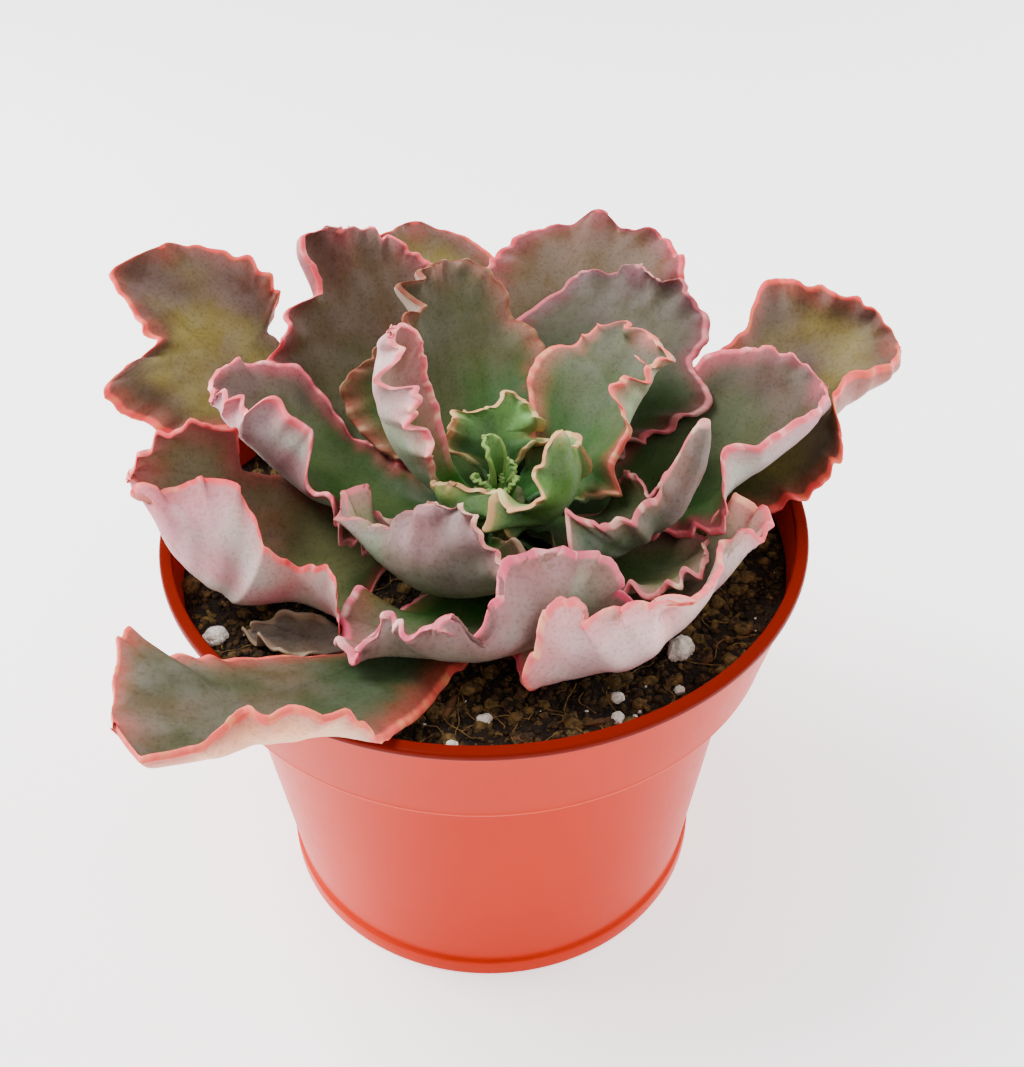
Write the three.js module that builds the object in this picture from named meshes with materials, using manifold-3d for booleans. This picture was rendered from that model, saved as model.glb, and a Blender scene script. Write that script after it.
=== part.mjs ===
// A potted curly echeveria: a ruffled succulent rosette in a thin plastic nursery pot.
// Millimetres, +Z up. The pot stands on z = 0 and the viewer looks along +Y.
import * as THREE from 'three';
import { mergeVertices } from 'three/addons/utils/BufferGeometryUtils.js';
import Module from 'manifold-3d';

const wasm = await Module();
wasm.setup();

// The middle of the whole plant's outline from above lies at the origin, so the pot's axis
// stands this far from it
const CENTRE_X = -5.6;
const CENTRE_Y = -6.4;

// Driving dimensions of the pot
const RIM_RADIUS = 76;
const POT_HEIGHT = 108;
const LIP_WIDTH = 3;
const LIP_THICKNESS = 1.6;
const COLLAR_HEIGHT = 27;
const COLLAR_FOOT_RADIUS = 69.5;
const BODY_TOP_RADIUS = 63.5;
const BODY_FOOT_RADIUS = 54.3;
const FOOT_RING_RADIUS = 55.3;
const FOOT_RING_HEIGHT = 5;
const WALL = 1.4;
const FLOOR_HEIGHT = 3.2;
const FLOOR_THICKNESS = 1.8;
const POT_SIDES = 60;
const DRAIN_HOLES = 6;
const DRAIN_RADIUS = 5;
const DRAIN_CIRCLE = 34;
const FOOT_NOTCHES = 4;
const FOOT_NOTCH_WIDTH = 18;
const FOOT_NOTCH_HEIGHT = 3.2;
const FOOT_NOTCH_START = -8;

// Driving dimensions of the soil and what lies on it
const CLEARANCE = 0.3;
const SOIL_EDGE = 97;
const SOIL_CROWN = 0.6;
const SOIL_ROUGHNESS = 0.7;
const SOIL_SIDES = 36;
const SOIL_RINGS = [1, 0.8, 0.58, 0.36, 0.18, 0];
const PERLITE = [
  { x: 42.5, y: -38, size: 7, slimness: 0.8, turn: 60 },
  { x: -61, y: -30, size: 5.6, slimness: 0.9, turn: 20 },
  { x: -1, y: -57, size: 3.4, slimness: 0.9, turn: 0 },
  { x: -8, y: -63.5, size: 3, slimness: 0.8, turn: 40 },
  { x: 27.5, y: -51.5, size: 3, slimness: 0.9, turn: 10 },
  { x: 27, y: -57.5, size: 3.2, slimness: 0.85, turn: 80 },
  { x: 41, y: -49.5, size: 2.6, slimness: 0.9, turn: 30 },
];

// Driving dimensions of the stem, which stands off the pot's axis
const STEM_X = 3;
const STEM_RADIUS = 6.8;
const STEM_FOOT = 72;
const STEM_TOP = 112.4;

// Driving dimensions that all leaves share
const LEAF_ROWS = 20;
const LEAF_COLUMNS = [-1, -0.76, -0.42, 0, 0.42, 0.76, 1];
const MIDRIB_STEPS = 60;
const SECTION_STEPS = 16;
const SEAT_RADIUS = STEM_RADIUS + 0.5;
const BASE_HALF_WIDTH = 3.2;
const EDGE_THICKNESS = 0.9;
const BASE_THICKNESS = 2.1;
const TIP_THICKNESS = 1.5;
const LAST_ROW = 0.998;
const LIFT_SHARE = 0.75;
const ROW_CROWDING = 1.3;
const STEADINESS = 0.5;
const LEAST_LEAN = 0.2;
const FOLD_REACH = 0.45;
const EDGE_STEP = 18;
const EDGE_BELOW_WIDEST = 80;
const MERGE_TOLERANCE = 1e-4;

// Driving dimensions of the rosette's heart
const HEART_LEAVES = 7;
const HEART_COLUMNS = [-1, -0.5, 0, 0.5, 1];
const HEART_FOOT = 112.8;
const HEART_CORE_FOOT = 4.6;
const HEART_CORE_TOP = 1.6;
const HEART_CORE_HEIGHT = 5;
const HEART_LONGEST = 12;
const HEART_SHORTEST = 5;
const HEART_WIDEST = 4.4;
const HEART_NARROWEST = 2.2;
const HEART_RUFFLE = 0.7;
const HEART_START = 200;
const GOLDEN_ANGLE = 137.5;

// Each leaf. azimuth, bend, rise and twist are in degrees: the heading at the foot, how far it
// turns by the tip, the slope at the foot, middle and tip, and the roll by the tip. seat is the
// azimuth of its foot on the stem and height the foot's height. Each half of the blade, seen
// from the stem, has its width, its fold up from the midrib at the foot, middle and tip, the
// further curl of its outer part at the middle and the tip, and its ruffles: how far the edge is
// lifted and drawn out, at steps along the edge from the tip towards the foot.
const LEAVES = {
  leaf_outer_far_left: {
    age: 'oldLeaf',
    azimuth: 133,
    seat: 133,
    height: 100.2,
    length: 112,
    rise: [-5, 18, 54],
    bend: 25,
    twist: -20,
    widest: 0.74,
    fullness: 0.85,
    bluntness: 2.4,
    footWidth: 2,
    left: {
      width: 23.5,
      fold: [21, 15, 5],
      curl: [1, 10],
      lift: [1, -8.5, -5, -2, -2.5, -3.5, 1, -2, 0.5],
      reach: [6.5, 10, 1, -1, 17, 11, -2.5, -12, -5],
    },
    right: {
      width: 16,
      fold: [-15, 14, 6],
      curl: [-30, -9],
      lift: [1, 1, 1.5, 2.5, 2.5, -6.5, -2, 0, 1],
      reach: [6.5, 3, 2, 2, 2, -8.5, -3.5, -0.5, -1],
    },
  },
  leaf_outer_right: {
    age: 'oldLeaf',
    azimuth: 26,
    seat: 24,
    height: 100.2,
    length: 103,
    rise: [-7, 18, 27],
    bend: -23,
    twist: 4,
    widest: 0.74,
    fullness: 0.85,
    bluntness: 2.4,
    left: {
      width: 28,
      fold: [30, 18, 22],
      curl: [-25, 31],
      lift: [0.5, 0.5, 1, 3, 0.5, -2.5, -1.5],
      reach: [3, 3.5, 3, 3, 7, -1, -1, -0.5],
    },
    right: {
      width: 27.5,
      fold: [4, 12, 28],
      curl: [-15, 48],
      lift: [0.5, -2.5, 0.5, 4.5, 5.5, -2.5, -2.5, -3.5, -1.5],
      reach: [3, 0, -2, -2.5, -1, 5, 3, 1.5, -6],
    },
  },
  leaf_outer_back: {
    age: 'oldLeaf',
    azimuth: 101,
    seat: 98,
    height: 100.2,
    length: 102,
    rise: [-6, 18, 37],
    bend: 3,
    twist: 6,
    widest: 0.75,
    fullness: 0.85,
    bluntness: 2.4,
    footWidth: 2,
    left: {
      width: 24.5,
      fold: [11, 15, 8],
      curl: [0, 1],
      lift: [1.5, 0.5, 0, 0, 0, 0, 0, -0.5, -2],
      reach: [1.5, 0.5, 0.5, 0, 0, 0, 0, 0, -0.5],
    },
    right: {
      width: 24,
      fold: [30, 19, 5],
      curl: [-2, -5],
      lift: [1.5, 0, -0.5, -0.5, 0, 0, 0, -0.5, -0.5],
      reach: [1.5, 0, -0.5, -0.5],
    },
  },
  leaf_outer_back_right: {
    age: 'oldLeaf',
    azimuth: 72,
    seat: 66,
    height: 102.6,
    length: 101,
    rise: [-8, 20, 40],
    bend: 1,
    twist: -2,
    widest: 0.75,
    fullness: 0.85,
    bluntness: 2.4,
    left: {
      width: 27,
      fold: [30, 19, 4],
      curl: [3, -1],
      lift: [3.5, -0.5, -0.5, 0, 1],
      reach: [1.5, -1.5, -0.5, 0, 0.5],
    },
    right: {
      width: 28.5,
      fold: [24, 17, 6],
      curl: [0, 10],
      lift: [3.5, 1, -1.5, -0.5, 0, 0, 0, 0, -0.5],
      reach: [1.5, -2, 1.5, 0.5],
    },
  },
  leaf_lowest_front_left: {
    age: 'oldLeaf',
    azimuth: -116,
    seat: -116,
    height: 100.2,
    length: 100,
    rise: [-11, 15, 16],
    bend: -45,
    twist: 4,
    widest: 0.8,
    fullness: 0.85,
    bluntness: 3.2,
    left: {
      width: 22,
      fold: [4, 6, 33],
      curl: [-38, 25],
      lift: [3.5, -4, -2, 6.5, 6.5, 8.5, 0.5, -2, -0.5],
      reach: [9.5, 7, 1.5, -6.5, -1.5, 7, -2.5, -2, 1.5],
    },
    right: {
      width: 22,
      fold: [3, 3, 13],
      curl: [-5, -18],
      lift: [3.5, 1, 2, 4.5, -3, -1, -1.5, -3, 0.5],
      reach: [9.5, 8.5, 9.5, 12, 8.5, 1, -1, -3, -11],
    },
  },
  leaf_outer_front_right: {
    age: 'oldLeaf',
    azimuth: -55,
    seat: -55,
    height: 100.2,
    length: 63,
    rise: [4, 6, 81],
    bend: 9,
    twist: 5,
    widest: 0.66,
    fullness: 0.75,
    bluntness: 2.4,
    left: {
      width: 36,
      fold: [-5, -3, 10],
      curl: [46, -2],
      lift: [7.5, 1.5, 1, 4.5, -6, -0.5, -2, -1.5, -0.5],
      reach: [0, -2.5, -2, -1.5, 8, 8.5, -1, -2.5, -4.5],
    },
    right: {
      width: 32,
      fold: [23, 8, 27],
      curl: [-7, 64],
      lift: [7.5, 0.5, -2.5, 4, -1, -1.5, -0.5, -2, 1],
      reach: [0, 5, 4.5, 8, 2, -4, -5, -4, -6],
    },
  },
  leaf_lower_right: {
    age: 'oldLeaf',
    azimuth: -28,
    seat: -28,
    height: 102.6,
    length: 49,
    rise: [-5, 7, 52],
    bend: -2,
    twist: -4,
    widest: 0.7,
    fullness: 0.85,
    bluntness: 2.4,
    left: {
      width: 14,
      fold: [22, 20, 21],
      curl: [-6, 6],
      lift: [0.5, 1.5, 0, 0, 0.5, 0, -0.5, -2, -1.5],
      reach: [0, -1, -1, -2, -1, 1, 0, -1, -0.5],
    },
    right: {
      width: 18.5,
      fold: [25, 26, 20],
      curl: [2, -1],
      lift: [0.5, -1, -0.5, 0, 0.5],
      reach: [0, 0.5],
    },
  },
  leaf_outer_left: {
    age: 'oldLeaf',
    azimuth: -184,
    seat: -184,
    height: 102.6,
    length: 85,
    rise: [-19, 24, 29],
    bend: 32,
    twist: -51,
    widest: 0.66,
    fullness: 0.85,
    bluntness: 2.4,
    left: {
      width: 53.5,
      fold: [-4, 11, 56],
      curl: [153, 170],
      lift: [2.5, 4.5, 5, 6.5, 1, -3, 0.5, -18.5],
      reach: [-2, -2, -0.5, 3.5, 4.5, -10, -11, -2.5, -8.5],
    },
    right: {
      width: 17.5,
      fold: [7, -4, 22],
      curl: [-30, 38],
      lift: [2.5, 3, 2.5, 6, 8, -5.5, -6, -5, -2],
      reach: [-2, 0, 0.5, 3, -2, -8.5, -4.5, -4, -1.5],
    },
  },
  leaf_outer_back_left: {
    age: 'oldLeaf',
    azimuth: 117,
    seat: 120,
    height: 103.2,
    length: 89,
    rise: [-8, 25, 71],
    bend: 6,
    twist: -11,
    widest: 0.74,
    fullness: 0.85,
    bluntness: 2.4,
    left: {
      width: 30,
      fold: [24, -1, 17],
      curl: [-8, 46],
      lift: [3, -1.5, 4, 0.5, 4, 2, -2, -7, -2.5],
      reach: [5.5, 7.5, -6, -3.5, -3.5, -0.5, 1, 1.5, 0.5],
    },
    right: {
      width: 23.5,
      fold: [35, 20, 1],
      curl: [4, -9],
      lift: [3, -0.5, -1, -0.5],
      reach: [5.5, 3.5, 1.5, 0.5],
    },
  },
  leaf_middle_front: {
    age: 'leaf',
    azimuth: -98,
    seat: -98,
    height: 102.8,
    length: 61,
    rise: [-7, 14, 78],
    bend: -11,
    twist: 7,
    widest: 0.66,
    fullness: 0.75,
    bluntness: 2.4,
    left: {
      width: 31,
      fold: [38, 31, 16],
      curl: [19, 81],
      lift: [3.5, 2.5, 3.5, 8, -3.5, -6.5, -1, 3.5, 6],
      reach: [3, -5, 1.5, 6, 8.5, 3, -1.5, -5, -6],
    },
    right: {
      width: 27,
      fold: [3, 10, 15],
      curl: [8, -3],
      lift: [3.5, 0.5, 4, -5, -2.5, 1.5, 6, -3.5, -2.5],
      reach: [3, -1.5, -2, -2.5, -0.5, 1, 3.5, 0, -0.5],
    },
  },
  leaf_middle_right: {
    age: 'leaf',
    azimuth: 11,
    seat: 8,
    height: 105.2,
    length: 81,
    rise: [-27, 24, 42],
    bend: -1,
    twist: 1,
    widest: 0.7,
    fullness: 0.85,
    bluntness: 2.4,
    left: {
      width: 28.5,
      fold: [39, 29, 19],
      curl: [-8, -3],
      lift: [1.5, 0.5, 1, 0, 0.5, -0.5, -0.5, -0.5],
      reach: [1.5, 1.5, 1.5, 0.5, 1.5, 0.5],
    },
    right: {
      width: 27,
      fold: [28, 43, 39],
      curl: [10, 23],
      lift: [1.5, -1, -1.5, 0.5, 1.5, 6, -7.5, -4, -2],
      reach: [1.5, 1, 1, 0.5, 1, 4, 0.5, -0.5, -0.5],
    },
  },
  leaf_middle_left: {
    age: 'leaf',
    azimuth: 159,
    seat: 159,
    height: 105.4,
    length: 73,
    rise: [-19, 23, 58],
    bend: 10,
    twist: 4,
    widest: 0.68,
    fullness: 0.85,
    bluntness: 2.4,
    left: {
      width: 30.5,
      fold: [25, 48, 44],
      curl: [53, 18],
      lift: [-3, -1.5, -2, 3, 2, -0.5, -8.5, -10, -16],
      reach: [-2, 0.5, 1, 3, 2, 2.5, -4, 5.5, 5.5],
    },
    right: {
      width: 23.5,
      fold: [38, 28, 5],
      curl: [-16, -14],
      lift: [-3, -2.5, 0, 2, 3, -0.5, -4, -1.5],
      reach: [-2, 1, 1.5, 0.5, 0.5, -1, -3.5, -1],
    },
  },
  leaf_middle_back_right: {
    age: 'leaf',
    azimuth: 60,
    seat: 60,
    height: 105.2,
    length: 80,
    rise: [-4, 19, 49],
    bend: 0,
    twist: -9,
    widest: 0.72,
    fullness: 0.85,
    bluntness: 2.4,
    left: {
      width: 27.5,
      fold: [30, 20, 4],
      curl: [2, -11],
      lift: [1.5, -1, 0.5, -1, -1, 0.5, 0.5],
      reach: [2, 0, 0.5, -1, -1, 0.5, 0.5],
    },
    right: {
      width: 30,
      fold: [28, 16, 13],
      curl: [-9, 18],
      lift: [1.5, 4, 2.5, -1, -1, -0.5, 0.5, -0.5, -0.5],
      reach: [2, -0.5, 1.5, 0, -2, -5, 7.5, 3.5],
    },
  },
  leaf_middle_back: {
    age: 'leaf',
    azimuth: 101,
    seat: 108,
    height: 105.8,
    length: 65,
    rise: [1, 31, 60],
    bend: 5,
    twist: 13,
    widest: 0.58,
    fullness: 0.85,
    bluntness: 1.6,
    left: {
      width: 28,
      fold: [16, 15, 19],
      curl: [-18, 27],
      lift: [-1, 0, 3.5, 4, 1, -1.5, -4, -4, -1.5],
      reach: [4, 1.5, -3, -4.5, -2.5, 2, 2.5, 3, 0.5],
    },
    right: {
      width: 24.5,
      fold: [38, 24, 9],
      curl: [1, -14],
      lift: [-1, 3.5, 3],
      reach: [4, 4, 2.5, -1.5, 0.5, -2, -1],
    },
  },
  leaf_inner_right: {
    age: 'leaf',
    azimuth: -24,
    seat: -24,
    height: 107.8,
    length: 56,
    rise: [-25, 34, 87],
    bend: 36,
    twist: -10,
    widest: 0.5,
    fullness: 0.85,
    bluntness: 0.85,
    left: {
      width: 19,
      fold: [27, 25, 49],
      curl: [33, 87],
      lift: [-5, -7, -0.5, 0.5, 0.5, 0, -2.5, -7, -3.5],
      reach: [11.5, 5, 2, 0, 0, 0, -1, -2.5, -1.5],
    },
    right: {
      width: 28,
      fold: [18, 23, 52],
      curl: [19, 107],
      lift: [-5, 3.5, 3, 2.5, 1.5, 0, -6.5, -2, 4],
      reach: [11.5, 0.5, -0.5, -2, 1.5, 6, 1.5, -0.5, -1],
    },
  },
  leaf_inner_front: {
    age: 'leaf',
    azimuth: -120,
    seat: -120,
    height: 105.4,
    length: 46,
    rise: [-16, 32, 124],
    bend: 12,
    twist: -2,
    widest: 0.64,
    fullness: 0.85,
    bluntness: 2.4,
    left: {
      width: 31,
      fold: [46, 32, 13],
      curl: [-8, -36],
      lift: [4, -1.5, -2, -0.5, 0, 0, 0.5, 1, 4],
      reach: [6.5, 8.5, 1.5, -0.5, -0.5, 0, 1, 3.5, 5.5],
    },
    right: {
      width: 26,
      fold: [40, 33, 26],
      curl: [20, 26],
      lift: [4, 9, 2.5, -5.5, -2.5, 2.5, -1.5, 8.5, 3.5],
      reach: [6.5, 5, -0.5, 0.5, 4.5, 4, 0, -2.5, -0.5],
    },
  },
  leaf_inner_back_right: {
    age: 'youngLeaf',
    azimuth: 40,
    seat: 40,
    height: 107.8,
    length: 51,
    rise: [6, 35, 62],
    bend: -5,
    twist: -8,
    widest: 0.72,
    fullness: 0.85,
    bluntness: 2.4,
    left: {
      width: 23,
      fold: [45, 35, 11],
      curl: [1, -17],
      lift: [-1.5, 0, 1, -0.5, -2, 0, 0.5, 0, -1],
      reach: [1.5, 1.5, 0, -1.5, -2.5, 0, 1, 0, -0.5],
    },
    right: {
      width: 27.5,
      fold: [32, 53, 37],
      curl: [20, 22],
      lift: [-1.5, -4, -2, 0, 3, 4, -4, -4.5, -12],
      reach: [1.5, 1.5, 0.5, 0, 0.5, 1, 0.5, 1.5, 4],
    },
  },
  leaf_inner_back_left: {
    age: 'youngLeaf',
    azimuth: 151,
    seat: 158,
    height: 107.6,
    length: 52,
    rise: [14, 68, 98],
    bend: -28,
    twist: 0,
    widest: 0.6,
    fullness: 0.85,
    bluntness: 2.4,
    left: {
      width: 24,
      fold: [45, 88, 82],
      curl: [4, 0],
      lift: [2, 1.5, -2, 2.5, -2, 2.5, -2, 1],
      reach: [1, 1, 0, 2, -2, -2, 2],
    },
    right: {
      width: 11.5,
      fold: [40, 34, 29],
      curl: [-2, -1],
      lift: [3],
      reach: [1, 1.5, 1.5, -1, -2, -1.5, -0.5],
    },
  },
  leaf_heart_back: {
    age: 'youngLeaf',
    azimuth: 84,
    seat: 84,
    height: 110.6,
    length: 23,
    rise: [4, 28, 70],
    bend: -3,
    twist: 6,
    widest: 0.66,
    fullness: 0.85,
    bluntness: 2.4,
    left: {
      width: 16,
      fold: [37, 28, 30],
      curl: [4, 10],
      lift: [0.5, 1, 0.5, 0, 1, 1, 0, -4.5, -1],
      reach: [2.5, -1, -1, 0, -1, -1.5, 0, 2, 0.5],
    },
    right: {
      width: 11.5,
      fold: [42, 32, 26],
      curl: [2, 1],
      lift: [0.5, -0.5, 0.5, 0.5, 0.5, 0.5, -2, 3, 1],
      reach: [2.5, 1.5, -0.5, -0.5, -0.5, -2.5, 0.5, 1.5],
    },
  },
  leaf_heart_right: {
    age: 'youngLeaf',
    azimuth: -41,
    seat: -41,
    height: 110.6,
    length: 28,
    rise: [1, 60, 106],
    bend: 7,
    twist: 2,
    widest: 0.66,
    fullness: 0.85,
    bluntness: 2.4,
    left: {
      width: 20,
      fold: [28, 37, 36],
      curl: [3, -8],
      lift: [0.5, 0, -0.5, -1.5, 0.5, 2, -2.5, -3.5, -0.5],
      reach: [8.5, 1.5, -1, -1.5, 0.5, 1.5, 0, -0.5],
    },
    right: {
      width: 16,
      fold: [32, 38, 37],
      curl: [16, -4],
      lift: [0.5, 2, -0.5, -1.5, -1, 1, 2.5, -1.5, -3],
      reach: [8.5, 2, -1.5, -2, -2, -1, 1.5, 7.5, 1.5],
    },
  },
  leaf_heart_left: {
    age: 'youngLeaf',
    azimuth: -143,
    seat: -143,
    height: 109.5,
    length: 15,
    rise: [2, 64, 88],
    bend: 7,
    twist: 12,
    widest: 0.66,
    fullness: 0.85,
    bluntness: 2.4,
    left: {
      width: 15,
      fold: [40, 36, 30],
      curl: [1, -24],
      lift: [2, 1.5, 2.5, 0.5],
      reach: [1.5, 0.5, 1.5, 0.5],
    },
    right: {
      width: 7.8,
      fold: [40, 35, 28],
      curl: [0, -12],
      lift: [2, 1],
      reach: [1.5, 1],
    },
  },
};

const rad = THREE.MathUtils.degToRad;
const ease = (t) => t * t * (3 - 2 * t);
const clamp = THREE.MathUtils.clamp;
const smooth = (from, to, x) => ease(clamp((x - from) / (to - from), 0, 1));

// A value that runs smoothly through evenly spaced stations, then eases out to nothing
function alongEdge(values, degrees) {
  const place = clamp(degrees / EDGE_STEP, 0, values.length);
  const first = Math.min(Math.floor(place), values.length - 1);
  const next = values[first + 1] ?? 0;
  return values[first] + (next - values[first]) * ease(place - first);
}

// Rows lie evenly up to the widest place and close up round the tip
function leafRows(widest, count) {
  const turn = widest / (widest + (1 - widest) * 1.35);
  const rows = [];
  for (let row = 0; row < count; row += 1) {
    const t = row / (count - 1);
    const past = clamp((t - turn) / (1 - turn), 0, 1);
    const tipPart = widest + (1 - widest) * (1 - (1 - past) ** ROW_CROWDING);
    rows.push(Math.min(t < turn ? (t / turn) * widest : tipPart, LAST_ROW));
  }
  return rows;
}

// Half of the blade's width at a place along it: a narrow foot, a broad end
function halfWidth(leaf, s, half) {
  if (s < leaf.widest) {
    const foot = leaf.footWidth ?? BASE_HALF_WIDTH;
    return foot + (half - foot) * ease(s / leaf.widest) ** leaf.fullness;
  }
  const past = (s - leaf.widest) / (1 - leaf.widest);
  return half * Math.sqrt(Math.max(0, 1 - past ** leaf.bluntness));
}

// Direction of the midrib at a place along the leaf
function midribDirection(leaf, s) {
  const [foot, middle, tip] = leaf.rise;
  const rise = rad(foot * (1 - s) * (1 - 2 * s) + middle * 4 * s * (1 - s) + tip * s * (2 * s - 1));
  const heading = rad(leaf.azimuth + leaf.bend * s * s);
  const level = Math.cos(rise);
  return new THREE.Vector3(level * Math.cos(heading), level * Math.sin(heading), Math.sin(rise));
}

// Points of the midrib from the stem out to the tip
function midribPoints(leaf) {
  const seat = rad(leaf.seat ?? 0);
  const radius = leaf.seatRadius ?? SEAT_RADIUS;
  const [x, y] = leaf.start ?? [STEM_X + radius * Math.cos(seat), radius * Math.sin(seat)];
  const point = new THREE.Vector3(x, y, leaf.height);
  const points = [point.clone()];
  for (let step = 0; step < MIDRIB_STEPS; step += 1) {
    const direction = midribDirection(leaf, (step + 0.5) / MIDRIB_STEPS);
    point.addScaledVector(direction, leaf.length / MIDRIB_STEPS);
    points.push(point.clone());
  }
  return points;
}

function between(points, s) {
  const place = clamp(s, 0, 1) * (points.length - 1);
  const first = Math.min(Math.floor(place), points.length - 2);
  return points[first].clone().lerp(points[first + 1], place - first);
}

// Where a point of the blade lies against its edge: the place along the edge in degrees from
// the tip, 90 at the widest place, and how near to the edge it is, from 0 to 1
function edgePlace(leaf, s, across, relativeWidth) {
  if (s < leaf.widest) {
    const down = (leaf.widest - s) / leaf.widest;
    return { degrees: 90 + down * EDGE_BELOW_WIDEST, nearness: across };
  }
  const past = (s - leaf.widest) / (1 - leaf.widest);
  const out = across * relativeWidth;
  const degrees = THREE.MathUtils.radToDeg(Math.atan2(out, past + 1e-9));
  const nearness = Math.sqrt(clamp(out * out + past ** leaf.bluntness, 0, 1));
  return { degrees, nearness };
}

// How far the edge may be lifted and drawn in: below the widest place the blade stays as wide as
// its foot and its ruffles keep to a share of its width
function ruffleRoom(leaf, s, width) {
  if (s >= leaf.widest) return [Infinity, Infinity];
  const foot = leaf.footWidth ?? BASE_HALF_WIDTH;
  return [LIFT_SHARE * width, Math.max(width - foot, 0)];
}

// One point of the blade's middle surface. The half folds up from the midrib, its outer part
// curls further, and the edge is lifted and drawn out into ruffles.
function bladePoint(leaf, frame, s, column) {
  const side = column < 0 ? 1 : -1;
  const across = Math.abs(column);
  const form = side > 0 ? leaf.left : leaf.right;
  const width = halfWidth(leaf, s, form.width);
  const [foldFoot, foldMiddle, foldTip] = form.fold;
  const fold = rad(foldFoot * (1 - s) ** 2 + foldMiddle * 2 * s * (1 - s) + foldTip * s * s);
  const [curlMiddle, curlTip] = form.curl;
  const curl = rad(curlMiddle * smooth(0.1, 0.55, s) + (curlTip - curlMiddle) * smooth(0.55, 1, s));
  const slope = (x) => fold * Math.min(1, x / FOLD_REACH) + curl * smooth(0.3, 0.95, x);
  let sideways = 0;
  let upwards = 0;
  for (let step = 0; step < SECTION_STEPS; step += 1) {
    const covered = clamp(across * SECTION_STEPS - step, 0, 1);
    const angle = slope((step + 0.5) / SECTION_STEPS);
    sideways += (Math.cos(angle) * covered * width) / SECTION_STEPS;
    upwards += (Math.sin(angle) * covered * width) / SECTION_STEPS;
  }
  const end = slope(across);
  const outwards = frame.side.clone().multiplyScalar(side * Math.cos(end));
  outwards.addScaledVector(frame.up, Math.sin(end));
  const normal = frame.side.clone().multiplyScalar(-side * Math.sin(end));
  normal.addScaledVector(frame.up, Math.cos(end));
  const { degrees, nearness } = edgePlace(leaf, s, across, width / form.width);
  const [highest, deepest] = ruffleRoom(leaf, s, width);
  const lift = clamp(alongEdge(form.lift, degrees), -highest, highest) * nearness ** 3;
  const reach = Math.max(alongEdge(form.reach, degrees), -deepest) * nearness ** 2;
  const round = rad(Math.min(degrees, 90));
  const point = frame.point
    .clone()
    .addScaledVector(frame.side, side * sideways)
    .addScaledVector(frame.up, upwards)
    .addScaledVector(normal, lift)
    .addScaledVector(outwards, reach * Math.sin(round))
    .addScaledVector(frame.along, reach * Math.cos(round));
  return { point, normal };
}

function leafFrame(leaf, points, s) {
  const along = midribDirection(leaf, s);
  const heading = rad(leaf.azimuth + leaf.bend * s * s);
  const level = new THREE.Vector3(-Math.sin(heading), Math.cos(heading), 0);
  const above = along.clone().cross(level);
  const turn = rad(leaf.twist) * ease(s);
  const side = level.clone().multiplyScalar(Math.cos(turn)).addScaledVector(above, Math.sin(turn));
  const up = above.clone().multiplyScalar(Math.cos(turn)).addScaledVector(level, -Math.sin(turn));
  return { along, side, up, point: between(points, s) };
}

// The difference of neighbours along one way of a grid
function gridStep(grid, row, column, rowStep, columnStep) {
  const lastRow = grid.length - 1;
  const lastColumn = grid[0].length - 1;
  const ahead = grid[Math.min(row + rowStep, lastRow)][Math.min(column + columnStep, lastColumn)];
  const behind = grid[Math.max(row - rowStep, 0)][Math.max(column - columnStep, 0)];
  return ahead.point.clone().sub(behind.point);
}

// The way that the skin stands off a grid's point: square to the ruffled surface, but steadied
// by the blade's own normal, so that tight ruffles don't turn the skins through each other
function skinNormal(grid, row, column) {
  const steady = grid[row][column].normal;
  const square = gridStep(grid, row, column, 1, 0).cross(gridStep(grid, row, column, 0, 1)).normalize();
  const base = square.dot(steady) < LEAST_LEAN ? steady.clone() : square;
  return base.addScaledVector(steady, STEADINESS).normalize();
}

// Two like skins over a grid of middle points, split into triangles alike and joined at the rim
function thickSheet(grid, thickness) {
  const rows = grid.length;
  const columns = grid[0].length;
  const skins = [[], []];
  grid.forEach((line, row) => line.forEach(({ point }, column) => {
    const normal = skinNormal(grid, row, column);
    const half = thickness(row, column) / 2;
    skins[0].push(point.clone().addScaledVector(normal, half));
    skins[1].push(point.clone().addScaledVector(normal, -half));
  }));
  const skinSize = rows * columns;
  const index = [];
  const at = (row, column, skin) => skin * skinSize + row * columns + column;
  for (let row = 0; row < rows - 1; row += 1) {
    for (let column = 0; column < columns - 1; column += 1) {
      const corners = [[row, column], [row, column + 1], [row + 1, column], [row + 1, column + 1]];
      const [a, b, c, d] = corners.map(([i, j]) => at(i, j, 0));
      index.push(a, c, b, b, c, d);
      const [e, f, g, h] = corners.map(([i, j]) => at(i, j, 1));
      index.push(e, f, g, f, h, g);
    }
  }
  const rim = [];
  for (let column = 0; column < columns - 1; column += 1) rim.push([0, column]);
  for (let row = 0; row < rows - 1; row += 1) rim.push([row, columns - 1]);
  for (let column = columns - 1; column > 0; column -= 1) rim.push([rows - 1, column]);
  for (let row = rows - 1; row > 0; row -= 1) rim.push([row, 0]);
  rim.forEach(([row, column], place) => {
    const [nextRow, nextColumn] = rim[(place + 1) % rim.length];
    const [a, b] = [at(row, column, 0), at(nextRow, nextColumn, 0)];
    const [c, d] = [at(row, column, 1), at(nextRow, nextColumn, 1)];
    index.push(a, b, c, b, d, c);
  });
  const geometry = new THREE.BufferGeometry().setFromPoints([...skins[0], ...skins[1]]);
  geometry.setIndex(index);
  return outwardFaces(geometry);
}

function signedVolume(geometry) {
  const { position } = geometry.attributes;
  const corner = (place) => new THREE.Vector3().fromBufferAttribute(position, geometry.index.getX(place));
  let sum = 0;
  for (let place = 0; place < geometry.index.count; place += 3) {
    sum += corner(place).dot(corner(place + 1).cross(corner(place + 2)));
  }
  return sum / 6;
}

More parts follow.
